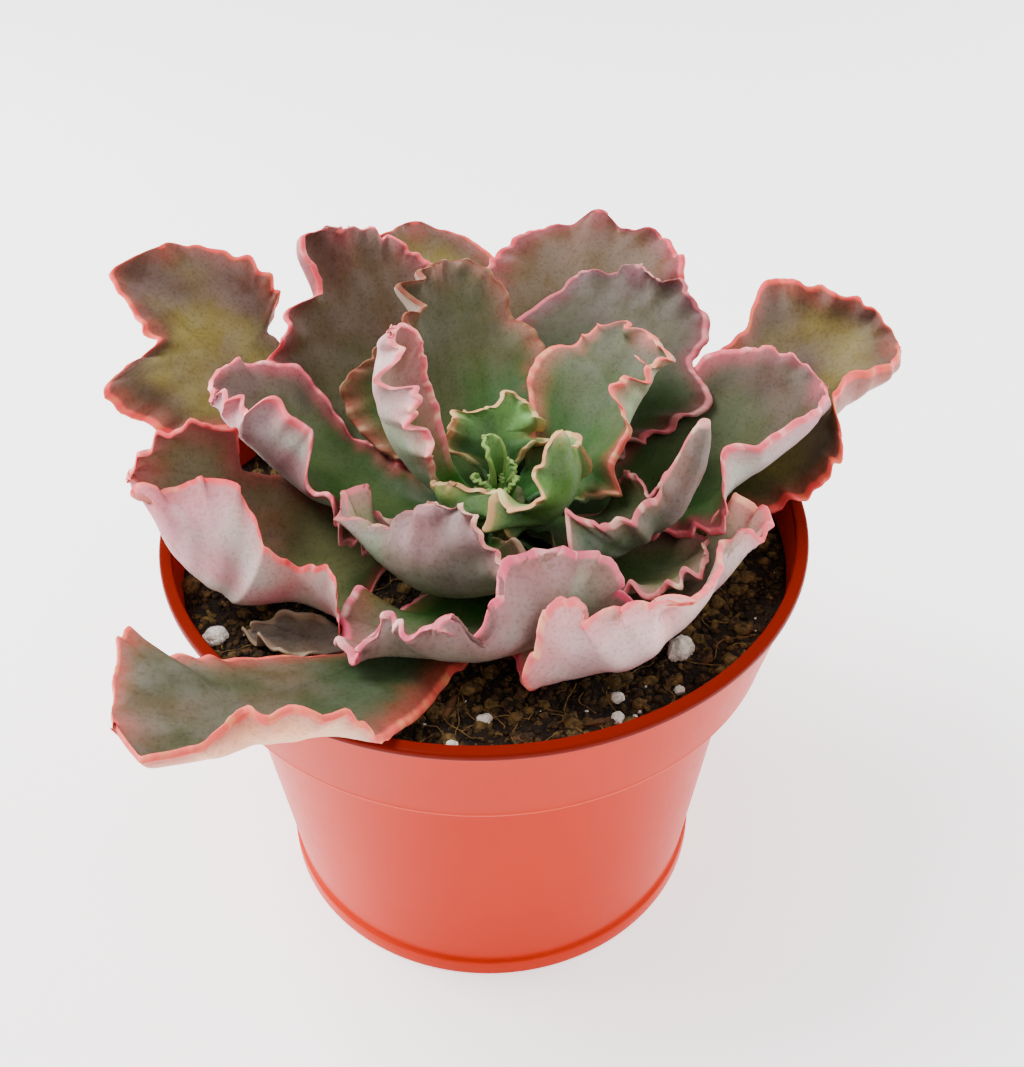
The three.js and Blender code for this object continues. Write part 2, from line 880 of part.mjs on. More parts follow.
function outwardFaces(geometry) {
  if (signedVolume(geometry) < 0) {
    const list = Array.from(geometry.index.array);
    for (let place = 0; place < list.length; place += 3) {
      [list[place + 1], list[place + 2]] = [list[place + 2], list[place + 1]];
    }
    geometry.setIndex(list);
  }
  return geometry;
}

function leafGeometry(leaf) {
  const points = midribPoints(leaf);
  const rows = leafRows(leaf.widest, leaf.rows ?? LEAF_ROWS);
  const columns = leaf.columns ?? LEAF_COLUMNS;
  const grid = rows.map((s) => {
    const frame = leafFrame(leaf, points, s);
    return columns.map((column) => bladePoint(leaf, frame, s, column));
  });
  const [foot, tip] = leaf.thickness ?? [BASE_THICKNESS, TIP_THICKNESS];
  const edge = Math.min(EDGE_THICKNESS, tip);
  const thickness = (row, column) => {
    const middle = foot + (tip - foot) * rows[row];
    return edge + (middle - edge) * (1 - columns[column] ** 2);
  };
  return thickSheet(grid, thickness);
}

// Booleans join and cut closed meshes
function toSolid(geometry) {
  const plain = geometry.clone();
  plain.deleteAttribute('normal');
  plain.deleteAttribute('uv');
  const merged = mergeVertices(plain, MERGE_TOLERANCE);
  const vertProperties = new Float32Array(merged.attributes.position.array);
  const triVerts = new Uint32Array(merged.index.array);
  return new wasm.Manifold(new wasm.Mesh({ numProp: 3, vertProperties, triVerts }));
}

function fromSolid(solid) {
  const mesh = solid.getMesh();
  const geometry = new THREE.BufferGeometry();
  geometry.setAttribute('position', new THREE.BufferAttribute(mesh.vertProperties, 3));
  geometry.setIndex(new THREE.BufferAttribute(mesh.triVerts, 1));
  return geometry;
}

function turned(profile, sides) {
  const points = profile.map(([radius, height]) => new THREE.Vector2(radius, height));
  const geometry = new THREE.LatheGeometry(points, sides);
  geometry.rotateX(Math.PI / 2);
  return geometry;
}

function standingCylinder(radius, bottom, top, sides) {
  const geometry = new THREE.CylinderGeometry(radius, radius, top - bottom, sides);
  geometry.rotateX(Math.PI / 2);
  geometry.translate(0, 0, (top + bottom) / 2);
  return geometry;
}

// The pot's inner wall: a straight body, a ledge and the flared collar
const LEDGE_HEIGHT = POT_HEIGHT - COLLAR_HEIGHT;
const INNER_FOOT = [BODY_FOOT_RADIUS - WALL, FLOOR_HEIGHT + FLOOR_THICKNESS];
const INNER_LEDGE = [BODY_TOP_RADIUS - WALL, LEDGE_HEIGHT + WALL];
const INNER_COLLAR_FOOT = [COLLAR_FOOT_RADIUS - WALL, LEDGE_HEIGHT + WALL];
const INNER_COLLAR_TOP = [RIM_RADIUS - WALL, POT_HEIGHT - LIP_THICKNESS - 1];

function collarInnerRadius(height) {
  const share = (height - INNER_COLLAR_FOOT[1]) / (INNER_COLLAR_TOP[1] - INNER_COLLAR_FOOT[1]);
  return THREE.MathUtils.lerp(INNER_COLLAR_FOOT[0], INNER_COLLAR_TOP[0], share);
}

function potGeometry() {
  const profile = [
    [0, FLOOR_HEIGHT],
    [FOOT_RING_RADIUS - 2 * WALL, FLOOR_HEIGHT],
    [FOOT_RING_RADIUS - 2 * WALL, 0],
    [FOOT_RING_RADIUS, 0],
    [FOOT_RING_RADIUS, FOOT_RING_HEIGHT],
    [BODY_FOOT_RADIUS, FOOT_RING_HEIGHT + 0.4],
    [BODY_TOP_RADIUS, LEDGE_HEIGHT],
    [COLLAR_FOOT_RADIUS, LEDGE_HEIGHT],
    [RIM_RADIUS, POT_HEIGHT - 1],
    [RIM_RADIUS - 0.6, POT_HEIGHT],
    [RIM_RADIUS - LIP_WIDTH, POT_HEIGHT],
    [RIM_RADIUS - LIP_WIDTH, POT_HEIGHT - LIP_THICKNESS],
    INNER_COLLAR_TOP,
    INNER_COLLAR_FOOT,
    INNER_LEDGE,
    INNER_FOOT,
    [0, FLOOR_HEIGHT + FLOOR_THICKNESS],
  ];
  let pot = toSolid(outwardFaces(turned(profile, POT_SIDES)));
  for (let hole = 0; hole < DRAIN_HOLES; hole += 1) {
    const angle = rad((360 / DRAIN_HOLES) * hole);
    const drill = standingCylinder(DRAIN_RADIUS, 0, FLOOR_HEIGHT + FLOOR_THICKNESS + 2, 10);
    drill.translate(DRAIN_CIRCLE * Math.cos(angle), DRAIN_CIRCLE * Math.sin(angle), 0);
    pot = pot.subtract(toSolid(drill));
  }
  for (let notch = 0; notch < FOOT_NOTCHES; notch += 1) {
    const gap = new THREE.BoxGeometry(FOOT_NOTCH_WIDTH, 12, 2 * FOOT_NOTCH_HEIGHT);
    gap.translate(0, -FOOT_RING_RADIUS, 0);
    gap.rotateZ(rad(FOOT_NOTCH_START + (360 / FOOT_NOTCHES) * notch));
    pot = pot.subtract(toSolid(gap));
  }
  return fromSolid(pot);
}

// The soil's surface swells a little towards the stem and is rough all over
function soilHeight(x, y) {
  const level = SOIL_EDGE + SOIL_CROWN * (1 - Math.hypot(x, y) / collarInnerRadius(SOIL_EDGE));
  const lumps = Math.sin(x / 5.1 + 1.3) * Math.cos(y / 4.3) + Math.sin((x + y) / 8.7) * 0.6;
  return level + SOIL_ROUGHNESS * lumps * 0.6;
}

function soilGeometry() {
  const edge = collarInnerRadius(SOIL_EDGE) - CLEARANCE;
  const surface = SOIL_RINGS.map((share) => [edge * share, SOIL_EDGE]);
  const profile = [
    [0, INNER_FOOT[1] + CLEARANCE],
    [INNER_FOOT[0] - CLEARANCE, INNER_FOOT[1] + CLEARANCE],
    [INNER_LEDGE[0] - CLEARANCE, INNER_LEDGE[1] + CLEARANCE],
    [INNER_COLLAR_FOOT[0] - CLEARANCE, INNER_COLLAR_FOOT[1] + CLEARANCE],
    ...surface,
  ];
  const geometry = turned(profile, SOIL_SIDES);
  const { position } = geometry.attributes;
  for (let place = 0; place < position.count; place += 1) {
    const [x, y, z] = [position.getX(place), position.getY(place), position.getZ(place)];
    const inner = Math.hypot(x, y) < edge - 0.5;
    if (z > SOIL_EDGE - 0.01 && inner) position.setZ(place, soilHeight(x, y));
  }
  let soil = toSolid(outwardFaces(geometry));
  const hole = standingCylinder(STEM_RADIUS + CLEARANCE, STEM_FOOT - CLEARANCE, POT_HEIGHT, 20);
  hole.translate(STEM_X, 0, 0);
  soil = soil.subtract(toSolid(hole));
  for (const grain of PERLITE) {
    soil = soil.subtract(toSolid(grainGeometry(grain, grain.size + 2 * CLEARANCE)));
  }
  return fromSolid(soil);
}

function stemGeometry() {
  const geometry = standingCylinder(STEM_RADIUS, STEM_FOOT, STEM_TOP, 20);
  geometry.translate(STEM_X, 0, 0);
  return geometry;
}

// A puffed mineral grain, half sunk in the soil
function grainGeometry(grain, size) {
  const geometry = new THREE.IcosahedronGeometry(size / 2, 1);
  const plain = mergeVertices(geometry.deleteAttribute('normal').deleteAttribute('uv'));
  const { position } = plain.attributes;
  for (let place = 0; place < position.count; place += 1) {
    const point = new THREE.Vector3().fromBufferAttribute(position, place);
    const swell = 1 + 0.12 * Math.sin(point.x * 1.9 + grain.x) * Math.cos(point.y * 1.7 + grain.y);
    point.multiplyScalar(swell).multiply(new THREE.Vector3(1, grain.slimness, 0.75));
    position.setXYZ(place, point.x, point.y, point.z);
  }
  plain.rotateZ(rad(grain.turn));
  plain.translate(grain.x, grain.y, soilHeight(grain.x, grain.y) + grain.size * 0.1);
  return plain;
}

// The youngest leaves stand tight round the growing point on a short core
function heartGeometry() {
  const core = new THREE.CylinderGeometry(HEART_CORE_TOP, HEART_CORE_FOOT, HEART_CORE_HEIGHT, 12);
  core.rotateX(Math.PI / 2);
  core.translate(STEM_X, 0, HEART_FOOT + HEART_CORE_HEIGHT / 2);
  let heart = toSolid(core);
  for (let place = 0; place < HEART_LEAVES; place += 1) {
    const share = place / (HEART_LEAVES - 1);
    const half = THREE.MathUtils.lerp(HEART_WIDEST, HEART_NARROWEST, share);
    const wave = place % 2 === 0 ? HEART_RUFFLE : -HEART_RUFFLE;
    const form = {
      width: half,
      fold: [50, 42, 30],
      curl: [0, 0],
      lift: [0, wave, -wave, wave, -wave, wave, 0],
      reach: [0],
    };
    const azimuth = HEART_START + GOLDEN_ANGLE * place;
    heart = heart.add(toSolid(leafGeometry({
      azimuth,
      seat: azimuth,
      seatRadius: THREE.MathUtils.lerp(3.2, 0.4, share),
      height: THREE.MathUtils.lerp(HEART_FOOT + 1.5, HEART_FOOT + HEART_CORE_HEIGHT - 1, share),
      length: THREE.MathUtils.lerp(HEART_LONGEST, HEART_SHORTEST, share),
      rise: [62, 66, THREE.MathUtils.lerp(74, 100, share)],
      bend: 0,
      twist: 0,
      widest: 0.62,
      fullness: 0.8,
      bluntness: 2,
      footWidth: 1.6,
      rows: 8,
      columns: HEART_COLUMNS,
      thickness: [1.6, 0.8],
      left: form,
      right: form,
    })));
  }
  return fromSolid(heart);
}

// An old leaf, dried and crinkled, that has dropped on the soil
const DRIED_LEAF = {
  azimuth: 166,
  start: [-31, -34.5],
  height: 98.6,
  length: 24,
  rise: [2, -2, 10],
  bend: 14,
  twist: 10,
  widest: 0.5,
  fullness: 0.6,
  bluntness: 1.6,
  footWidth: 2.2,
  rows: 14,
  thickness: [1, 0.8],
  left: {
    width: 6.5,
    fold: [10, 4, 20],
    curl: [10, 20],
    lift: [0, 1, -0.4, 1.6, 0, 1.4, -0.2, 1.2],
    reach: [0, 1, -1, 1, 0, 1],
  },
  right: {
    width: 7,
    fold: [20, 10, 20],
    curl: [50, 60],
    lift: [0, 1, 2, 1, 2.4, 1, 2, 1],
    reach: [0, -1, 1, -1, 1, 0],
  },
};

const MATERIALS = {
  plastic: new THREE.MeshStandardMaterial({ color: 0xd9694c, roughness: 0.42, metalness: 0 }),
  soil: new THREE.MeshStandardMaterial({ color: 0x2c1c12, roughness: 0.98, metalness: 0 }),
  stem: new THREE.MeshStandardMaterial({ color: 0x7f8a5c, roughness: 0.8, metalness: 0 }),
  oldLeaf: new THREE.MeshStandardMaterial({ color: 0x8d8471, roughness: 0.5, metalness: 0 }),
  leaf: new THREE.MeshStandardMaterial({ color: 0xa99a9c, roughness: 0.5, metalness: 0 }),
  youngLeaf: new THREE.MeshStandardMaterial({ color: 0x7fa06b, roughness: 0.5, metalness: 0 }),
  driedLeaf: new THREE.MeshStandardMaterial({ color: 0x7d6c5e, roughness: 0.9, metalness: 0 }),
  perlite: new THREE.MeshStandardMaterial({ color: 0xe9e4da, roughness: 0.95, metalness: 0 }),
};

function named(name, geometry, material) {
  const mesh = new THREE.Mesh(geometry, MATERIALS[material]);
  mesh.name = name;
  return mesh;
}

function potAndSoil() {
  const group = new THREE.Group();
  group.add(named('pot', potGeometry(), 'plastic'));
  group.add(named('soil', soilGeometry(), 'soil'));
  PERLITE.forEach((grain, place) => {
    group.add(named(`perlite_${place + 1}`, grainGeometry(grain, grain.size), 'perlite'));
  });
  group.add(named('dried_leaf', leafGeometry(DRIED_LEAF), 'driedLeaf'));
  return group;
}

function rosette() {
  const group = new THREE.Group();
  group.add(named('stem', stemGeometry(), 'stem'));
  for (const [name, leaf] of Object.entries(LEAVES)) {
    group.add(named(name, leafGeometry(leaf), leaf.age));
  }
  group.add(named('heart', heartGeometry(), 'youngLeaf'));
  return group;
}

const plant = new THREE.Group();
plant.add(potAndSoil(), rosette());
plant.position.set(CENTRE_X, CENTRE_Y, 0);

export default plant;
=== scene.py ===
"""A potted curly echeveria: ruffled leaves, soil and a moulded pot, dressed around the frame.

Lengths in the tables are millimetres and angles are degrees; meshes are built in metres.
"""
import logging
import math
from collections.abc import Sequence
from dataclasses import dataclass, field
from enum import Enum
from functools import partial

import bmesh
import bpy
import numpy as np
from mathutils import Matrix, Vector, noise


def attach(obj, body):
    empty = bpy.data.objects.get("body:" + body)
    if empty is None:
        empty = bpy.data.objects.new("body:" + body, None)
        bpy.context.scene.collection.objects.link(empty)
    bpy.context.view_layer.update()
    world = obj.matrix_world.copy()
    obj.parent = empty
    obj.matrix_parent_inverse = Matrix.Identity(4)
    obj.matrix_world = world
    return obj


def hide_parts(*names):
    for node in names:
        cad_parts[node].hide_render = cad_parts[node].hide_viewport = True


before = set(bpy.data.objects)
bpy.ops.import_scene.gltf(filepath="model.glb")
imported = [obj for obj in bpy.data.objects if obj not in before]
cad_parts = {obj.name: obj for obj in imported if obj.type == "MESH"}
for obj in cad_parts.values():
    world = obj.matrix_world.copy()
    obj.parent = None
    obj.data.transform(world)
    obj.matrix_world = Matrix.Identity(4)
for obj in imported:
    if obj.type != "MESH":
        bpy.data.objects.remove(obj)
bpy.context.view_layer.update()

LOG = logging.getLogger("echeveria")
MM = 0.001
BODY = "root"

# The pot's axis stands this far from the middle of the frame
AXIS_X = -5.6
AXIS_Y = -6.4


def linear(colour: str) -> tuple[float, float, float, float]:
    """Turns an sRGB hex colour into linear light.

    Args:
        colour: Six hex digits with a leading hash.

    Returns:
        Red, green, blue and a full alpha.
    """
    parts = [int(colour[place:place + 2], 16) / 255 for place in (1, 3, 5)]
    return (*(p / 12.92 if p <= 0.04045 else ((p + 0.055) / 1.055) ** 2.4 for p in parts), 1.0)


def fill(tree: bpy.types.NodeTree, node: bpy.types.Node, inputs: dict) -> None:
    """Gives a node's inputs their values.

    Args:
        tree: The tree that the node is in.
        node: The node.
        inputs: What each input gets, by name or place: a node or socket to link, a colour or a number.
    """
    for key, value in inputs.items():
        if isinstance(value, bpy.types.Node):
            value = next(socket for socket in value.outputs if socket.enabled)
        if isinstance(value, bpy.types.NodeSocket):
            tree.links.new(value, node.inputs[key])
        else:
            colour = isinstance(value, str) and value[:1] == "#"
            node.inputs[key].default_value = linear(value) if colour else value


def add(tree: bpy.types.NodeTree, kind: str, inputs: dict | None = None,
        **settings: object) -> bpy.types.Node:
    """Adds one node to a tree.

    Args:
        tree: The shader or geometry tree.
        kind: The node's type.
        inputs: What each input gets, as fill takes it.
        settings: The node's own settings; stops holds the places and colours of a ramp.

    Returns:
        The new node.
    """
    made = tree.nodes.new(kind)
    stops = settings.pop("stops", None)
    for name, value in settings.items():
        setattr(made, name, value)
    fill(tree, made, inputs or {})
    if stops:
        ramp = made.color_ramp
        while len(ramp.elements) < len(stops):
            ramp.elements.new(1.0)
        for element, (place, colour) in zip(ramp.elements, stops):
            element.position = place
            element.color = linear(colour)
    return made


def new_material(name: str) -> tuple[bpy.types.Material, bpy.types.NodeTree, bpy.types.Node]:
    """Makes an empty node material.

    Args:
        name: What the real finish is.

    Returns:
        The material, its tree and its main shader, which is linked to the output.
    """
    material = bpy.data.materials.new(name)
    material.use_nodes = True
    tree = material.node_tree
    tree.nodes.clear()
    shader = add(tree, "ShaderNodeBsdfPrincipled")
    add(tree, "ShaderNodeOutputMaterial", {"Surface": shader.outputs[0]})
    return material, tree, shader


def new_piece(name: str, points: np.ndarray, faces: Sequence,
              material: bpy.types.Material) -> bpy.types.Object:
    """Makes a smooth mesh object at the origin.

    Args:
        name: The piece's name.
        points: Its vertices, in metres.
        faces: Its faces as vertex numbers.
        material: Its finish.

    Returns:
        The object, linked to the scene.
    """
    mesh = bpy.data.meshes.new(name)
    mesh.from_pydata(np.asarray(points).tolist(), [], [tuple(face) for face in faces])
    mesh.materials.append(material)
    mesh.polygons.foreach_set("use_smooth", [True] * len(mesh.polygons))
    mesh.update()
    piece = bpy.data.objects.new(name, mesh)
    bpy.context.scene.collection.objects.link(piece)
    return piece


def face_outwards(piece: bpy.types.Object) -> None:
    """Turns a closed mesh's faces outwards.

    Args:
        piece: The object whose mesh is mended.
    """
    shape = bmesh.new()
    shape.from_mesh(piece.data)
    bmesh.ops.recalc_face_normals(shape, faces=shape.faces)
    shape.to_mesh(piece.data)
    shape.free()


def settle(piece: bpy.types.Object, slot: str, *nodes: str) -> None:
    """Rides a piece on the plant and hides the nodes that it stands for.

    Args:
        piece: The finished piece.
        slot: The material slot; not used.
        nodes: The CAD nodes that it replaces.
    """
    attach(piece, BODY)
    if nodes:
        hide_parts(*nodes)
    LOG.info("%s: %d faces", piece.name, len(piece.data.polygons))


def apply_tree(piece: bpy.types.Object, tree: bpy.types.NodeTree, sizes: dict[str, object]) -> None:
    """Runs a geometry tree on a piece and keeps the plain mesh.

    Args:
        piece: The object that the tree works on.
        tree: The geometry tree.
        sizes: The tree's named inputs and their values.
    """
    modifier = piece.modifiers.new(tree.name, "NODES")
    modifier.node_group = tree
    named = {item.name: item.identifier for item in tree.interface.items_tree if item.in_out == "INPUT"}
    for name, value in sizes.items():
        modifier[named[name]] = value
    bpy.context.view_layer.update()
    shown = piece.evaluated_get(bpy.context.evaluated_depsgraph_get())
    mesh = bpy.data.meshes.new_from_object(shown)
    piece.modifiers.remove(modifier)
    piece.data = mesh


def new_tree(name: str, sizes: dict[str, tuple[str, object]]
             ) -> tuple[bpy.types.NodeTree, bpy.types.Node, bpy.types.Node]:
    """Starts a geometry tree with named inputs.

    Args:
        name: The tree's name.
        sizes: Each input's socket type and first value.

    Returns:
        The tree, its input node and its output node.
    """
    tree = bpy.data.node_groups.new(name, "GeometryNodeTree")
    tree.interface.new_socket("Geometry", in_out="OUTPUT", socket_type="NodeSocketGeometry")
    tree.interface.new_socket("Geometry", in_out="INPUT", socket_type="NodeSocketGeometry")
    for key, (kind, value) in sizes.items():
        socket = tree.interface.new_socket(key, in_out="INPUT", socket_type=kind)
        if value is not None:
            socket.default_value = value
    return tree, add(tree, "NodeGroupInput"), add(tree, "NodeGroupOutput")


def ease(t: np.ndarray) -> np.ndarray:
    """Returns a smooth step of a value from 0 to 1."""
    return t * t * (3 - 2 * t)


def smooth(low: float, high: float, x: np.ndarray) -> np.ndarray:
    """Returns 0 below low, 1 above high and a smooth step between."""
    return ease(np.clip((x - low) / (high - low), 0, 1))


class Noise(Enum):
    """Sizes of pattern on the leaves, in millimetres."""

    CLOUD = 17.0
    BLOTCH = 7.0
    GRAIN = 1.6
    SPECKLE = 0.8
    PORE = 0.35


@dataclass(frozen=True)
class LeafFinish:
    """Waxy succulent skin: a matt bloom over coloured flesh, with a coral edge.

    Attributes:
        name: What the finish is.
        inner_base: Colour of the upper face near the stem.
        inner_tip: Colour of the upper face near the tip.
        inner_mottle: Colour of its cloudy blotches.
        back_base: Colour of the lower face near the stem.
        back_tip: Colour of the lower face near the tip.
        back_mottle: Colour of its cloudy blotches.
        blush: The tint that deepens towards the edge.
        edge: The colour of the edge itself.
        edge_pale_and_glint: The paler colour that the edge turns to in places, partly its own paler tone and
            partly a painted highlight.
        edge_width: Width of the coloured edge, in millimetres.
        blush_width: How far the tint reaches in, in millimetres.
        blush_strength: How strong the tint is next to the edge.
        mottle: Strength of the blotches.
        spots: Strength of the small dark spots.
        base_reach: How far along the leaf the base colour reaches.
        bloom: The colour of the waxy bloom.
        bloom_strength: How thickly the bloom lies.
    """

    name: str
    inner_base: str
    inner_tip: str
    inner_mottle: str
    back_base: str
    back_tip: str
    back_mottle: str
    blush: str
    edge: str
    edge_pale_and_glint: str
    edge_width: float = 1.05
    blush_width: float = 9.0
    blush_strength: float = 0.6
    mottle: float = 0.75
    spots: float = 0.5
    base_reach: float = 0.62
    bloom: str = "#b7b0b6"
    bloom_strength: float = 0.09

    def material(self, seed: int) -> bpy.types.Material:
        """Builds the finish for one leaf.

        Args:
            seed: Shifts the patterns, so that no two leaves are alike.

        Returns:
            The material.
        """
        material, tree, shader = new_material(f"{self.name}_{seed}")
        node = partial(add, tree)
        place = node("ShaderNodeTexCoord").outputs["Object"]
        place = node("ShaderNodeMapping", {"Vector": place, "Scale": (1 / MM, 1 / MM, 1 / MM)})
        upper, along, across, edge, arc = (node("ShaderNodeAttribute", attribute_name=key).outputs["Fac"]
                                           for key in ("upper", "along", "across", "edge", "arc"))
        vein_x, vein_y, edge_x = (node("ShaderNodeMath", {0: value, 1: factor}, operation="MULTIPLY")
                                  for value, factor in ((across, 9.0), (along, 1.6), (arc, 0.26)))
        veins = node("ShaderNodeCombineXYZ", {"X": vein_x, "Y": vein_y, "Z": float(seed)})
        rim_line = node("ShaderNodeCombineXYZ", {"X": edge_x, "Y": float(seed)})
        # Soft clouds, blotches and fine grain in the flesh, streaks along the veins and pale flecks on the rim,
        # part painted highlight
        cloud, soft, blotch, grain, speckle, pores, streak, glint_fleck = (
            node("ShaderNodeTexNoise", {"Vector": vector, "W": seed * 3.7 + shift, "Scale": 1 / size,
                 "Detail": detail, "Roughness": 0.55}, noise_dimensions="4D")
            for vector, size, shift, detail in (
                (place, Noise.CLOUD.value, 0.0, 3.0), (place, Noise.CLOUD.value, 31.0, 0.6),
                (place, Noise.BLOTCH.value, 5.0, 3.0), (place, Noise.GRAIN.value, 9.0, 4.0),
                (place, Noise.SPECKLE.value, 12.0, 2.0), (place, Noise.PORE.value, 1.0, 2.0),
                (veins, 1.0, 2.0, 3.0), (rim_line, 1.0, 4.0, 2.0)))
        shifted, inward, ragged, fringe, fine = (
            node("ShaderNodeMath", {0: value, 1: factor, 2: more}, operation="MULTIPLY_ADD")
            for value, factor, more in ((cloud, 0.55, along), (cloud, 10.0, edge), (blotch, 5.0, edge),
                                        (grain, 0.9, edge), (grain, 1.2, pores)))
        cells = node("ShaderNodeTexVoronoi", {"Vector": place, "W": seed * 1.3, "Scale": 1 / 6.5,
                     "Randomness": 1.0}, voronoi_dimensions="4D").outputs
        chance = node("ShaderNodeSeparateColor", {0: cells["Color"]})
        # Each row is a value, the range that it is eased over and what it is turned to
        rise, middle, patch, back_patch, vein, tint, wash, dust, spot, spotted, rim, pale, grown, shine = (
            node("ShaderNodeMapRange", {"Value": value, "From Min": low, "From Max": high, "To Min": start,
                 "To Max": end}, interpolation_type="SMOOTHSTEP")
            for value, low, high, start, end in (
                (shifted, self.base_reach - 0.05, self.base_reach + 0.72, 0.0, 1.0),
                (inward, 6.0, 19.0, 0.0, 1.0),
                (soft, 0.3, 0.62, 0.0, self.mottle),
                (soft, 0.45, 0.7, 0.0, self.mottle),
                (streak, 0.42, 0.8, 0.0, 0.22),
                (ragged, 2.0, self.blush_width + 2.5, 1.0, 0.0),
                (blotch, 0.35, 0.65, 0.4 * self.bloom_strength, 1.6 * self.bloom_strength),
                (speckle, 0.46, 0.72, 0.0, 0.3),
                (cells["Distance"], 0.03, 0.11, 1.0, 0.0),
                (chance, 0.55, 0.9, 0.0, self.spots),
                (fringe, self.edge_width * 0.35 + 0.45, self.edge_width * 1.5 + 0.45, 1.0, 0.0),
                (glint_fleck, 0.45, 0.7, 0.0, 1.0),
                (along, 0.12, 0.42, 0.0, 1.0),
                (blotch, 0.3, 0.7, 0.34, 0.5)))
        tint = node("ShaderNodeMath", {0: tint, 1: 1.6}, operation="POWER")
        tint = node("ShaderNodeMath", {0: tint, 1: self.blush_strength}, operation="MULTIPLY")
        # The bloom is rubbed thin on the upper face near the foot
        thin = node("ShaderNodeMath", {0: rise, 1: 0.7, 2: -0.95}, operation="MULTIPLY_ADD")
        thin = node("ShaderNodeMath", {0: upper, 1: thin, 2: 1.0}, operation="MULTIPLY_ADD")
        patch, tint, wash, spot, rim = (
            node("ShaderNodeMath", {0: first, 1: second}, operation="MULTIPLY")
            for first, second in ((patch, middle), (tint, grown), (wash, thin), (spot, spotted),
                                  (rim, grown)))
        # The edge's pale flecks are partly its own paler tone and partly painted highlight
        inner, skin, coral = (
            node("ShaderNodeMix", {"Factor": share, 6: first, 7: second}, data_type="RGBA")
            for share, first, second in ((rise, self.inner_base, self.inner_tip),
                                         (rise, self.back_base, self.back_tip),
                                         (pale, self.edge, self.edge_pale_and_glint)))
        inner = node("ShaderNodeMix", {"Factor": patch, 6: inner, 7: self.inner_mottle}, data_type="RGBA")
        for share, colour, blend in (
                (back_patch, self.back_mottle, "MIX"), (upper, inner, "MIX"), (vein, "#5d5142", "MULTIPLY"),
                (tint, self.blush, "MIX"), (wash, self.bloom, "MIX"), (dust, "#8d7468", "MULTIPLY"),
                (spot, "#5a3b3c", "MIX"), (rim, coral, "MIX")):
            skin = node("ShaderNodeMix", {"Factor": share, 6: skin, 7: colour}, data_type="RGBA",
                        blend_type=blend)
        relief = node("ShaderNodeMath", {0: blotch, 1: 6.0, 2: fine}, operation="MULTIPLY_ADD")
        fill(tree, shader, {
            "Base Color": skin, "Roughness": shine, "IOR": 1.42, "Specular IOR Level": 0.08,
            "Subsurface Weight": 0.08, "Subsurface Radius": (1.0, 0.6, 0.4), "Subsurface Scale": 1.6 * MM,
            "Normal": node("ShaderNodeBump", {"Strength": 1.0, "Distance": 0.035 * MM, "Height": relief})})
        return material


# Colours of the upper face, the lower face and the edge, in the order of the fields
OLIVE = LeafFinish(
    "olive_leaf_skin", "#333c1a", "#4f3326", "#756a2c", "#76765b", "#9b574c", "#8d5a50", "#9b4a3c", "#dd4d4c",
    "#ce6f45")
MAUVE = LeafFinish(
    "mauve_leaf_skin", "#22351a", "#6b4030", "#4d4c30", "#8a9c84", "#b0646a", "#935058", "#943d4a", "#d84e58",
    "#e88480", mottle=0.5, base_reach=0.66)
PLUM = LeafFinish(
    "plum_leaf_skin", "#2b401c", "#432a26", "#4c4a36", "#4e6a48", "#6a5a50", "#6c4c46", "#753442", "#b2565e",
    "#c08a84", base_reach=0.66)
FERN = LeafFinish(
    "fern_green_leaf_skin", "#2c4c1e", "#66503a", "#46452c", "#7fa082", "#b09484", "#93766c", "#95564b",
    "#854c3c", "#9a825d", blush_strength=0.7, base_reach=0.72)
SAGE = LeafFinish(
    "sage_leaf_skin", "#305c28", "#46472f", "#52563c", "#7fb281", "#b0a483", "#93766c", "#b15b54", "#e1665d",
    "#e5ac7d", blush_strength=0.7)
YOUNG = LeafFinish(
    "young_leaf_skin", "#16340f", "#7db060", "#22481a", "#3b6d23", "#4a7028", "#8fb060", "#b4a468", "#c79468",
    "#d3cc8c", edge_width=1.0, blush_width=6.0, blush_strength=0.5, mottle=0.3, spots=0.1)
BUD = LeafFinish(
    "heart_leaf_skin", "#2a5a1c", "#6f9c50", "#4a7432", "#5a9038", "#6a9c44", "#86ac5a", "#7f9a50", "#7c9c50",
    "#9cb86e", edge_width=0.35, blush_width=6.0, blush_strength=0.2, mottle=0.2, spots=0.1)
LILAC = LeafFinish(
    "lilac_leaf_skin", "#213a16", "#5c3a34", "#46532f", "#a9c0aa", "#b87f8c", "#a8606e", "#b8485a", "#d95a66",
    "#f3a09f", base_reach=0.7)
ROSE = LeafFinish(
    "rose_leaf_skin", "#1a2e10", "#9c6048", "#6a6a44", "#b9c4b2", "#a8666f", "#b4606c", "#b0404c", "#d6444b",
    "#de8172", blush_width=13.0, base_reach=0.64)
SLATE = LeafFinish(
    "slate_leaf_skin", "#125c0c", "#84605c", "#6a5450", "#8fae8c", "#7c605a", "#8a5658", "#8a3d42", "#ce536b",
    "#dda49d", blush_width=13.0)
DUSKY = LeafFinish(
    "dusky_leaf_skin", "#16380e", "#7e7d52", "#304b1c", "#5f8a58", "#665a50", "#80585a", "#94545a", "#b45a60",
    "#d0b090", blush_width=13.0)
MOSS = LeafFinish(
    "moss_leaf_skin", "#2c4420", "#5e5240", "#54503c", "#35502c", "#5e5048", "#6a4a48", "#754f3e", "#c05e66",
    "#d2a694", base_reach=0.72)
PALE = LeafFinish(
    "pale_lilac_leaf_skin", "#4e7a3a", "#c8a698", "#9c8a7c", "#b2c6be", "#e0b6b0", "#c48a90", "#dc6e74",
    "#e8606a", "#f3a984", blush_width=13.0)
SHELL = LeafFinish(
    "shell_pink_leaf_skin", "#2a6410", "#a87f72", "#8c7460", "#7fae7c", "#b79c98", "#c08a8e", "#c9747a",
    "#e06a74", "#f3b29c", blush_width=13.0, base_reach=0.5)
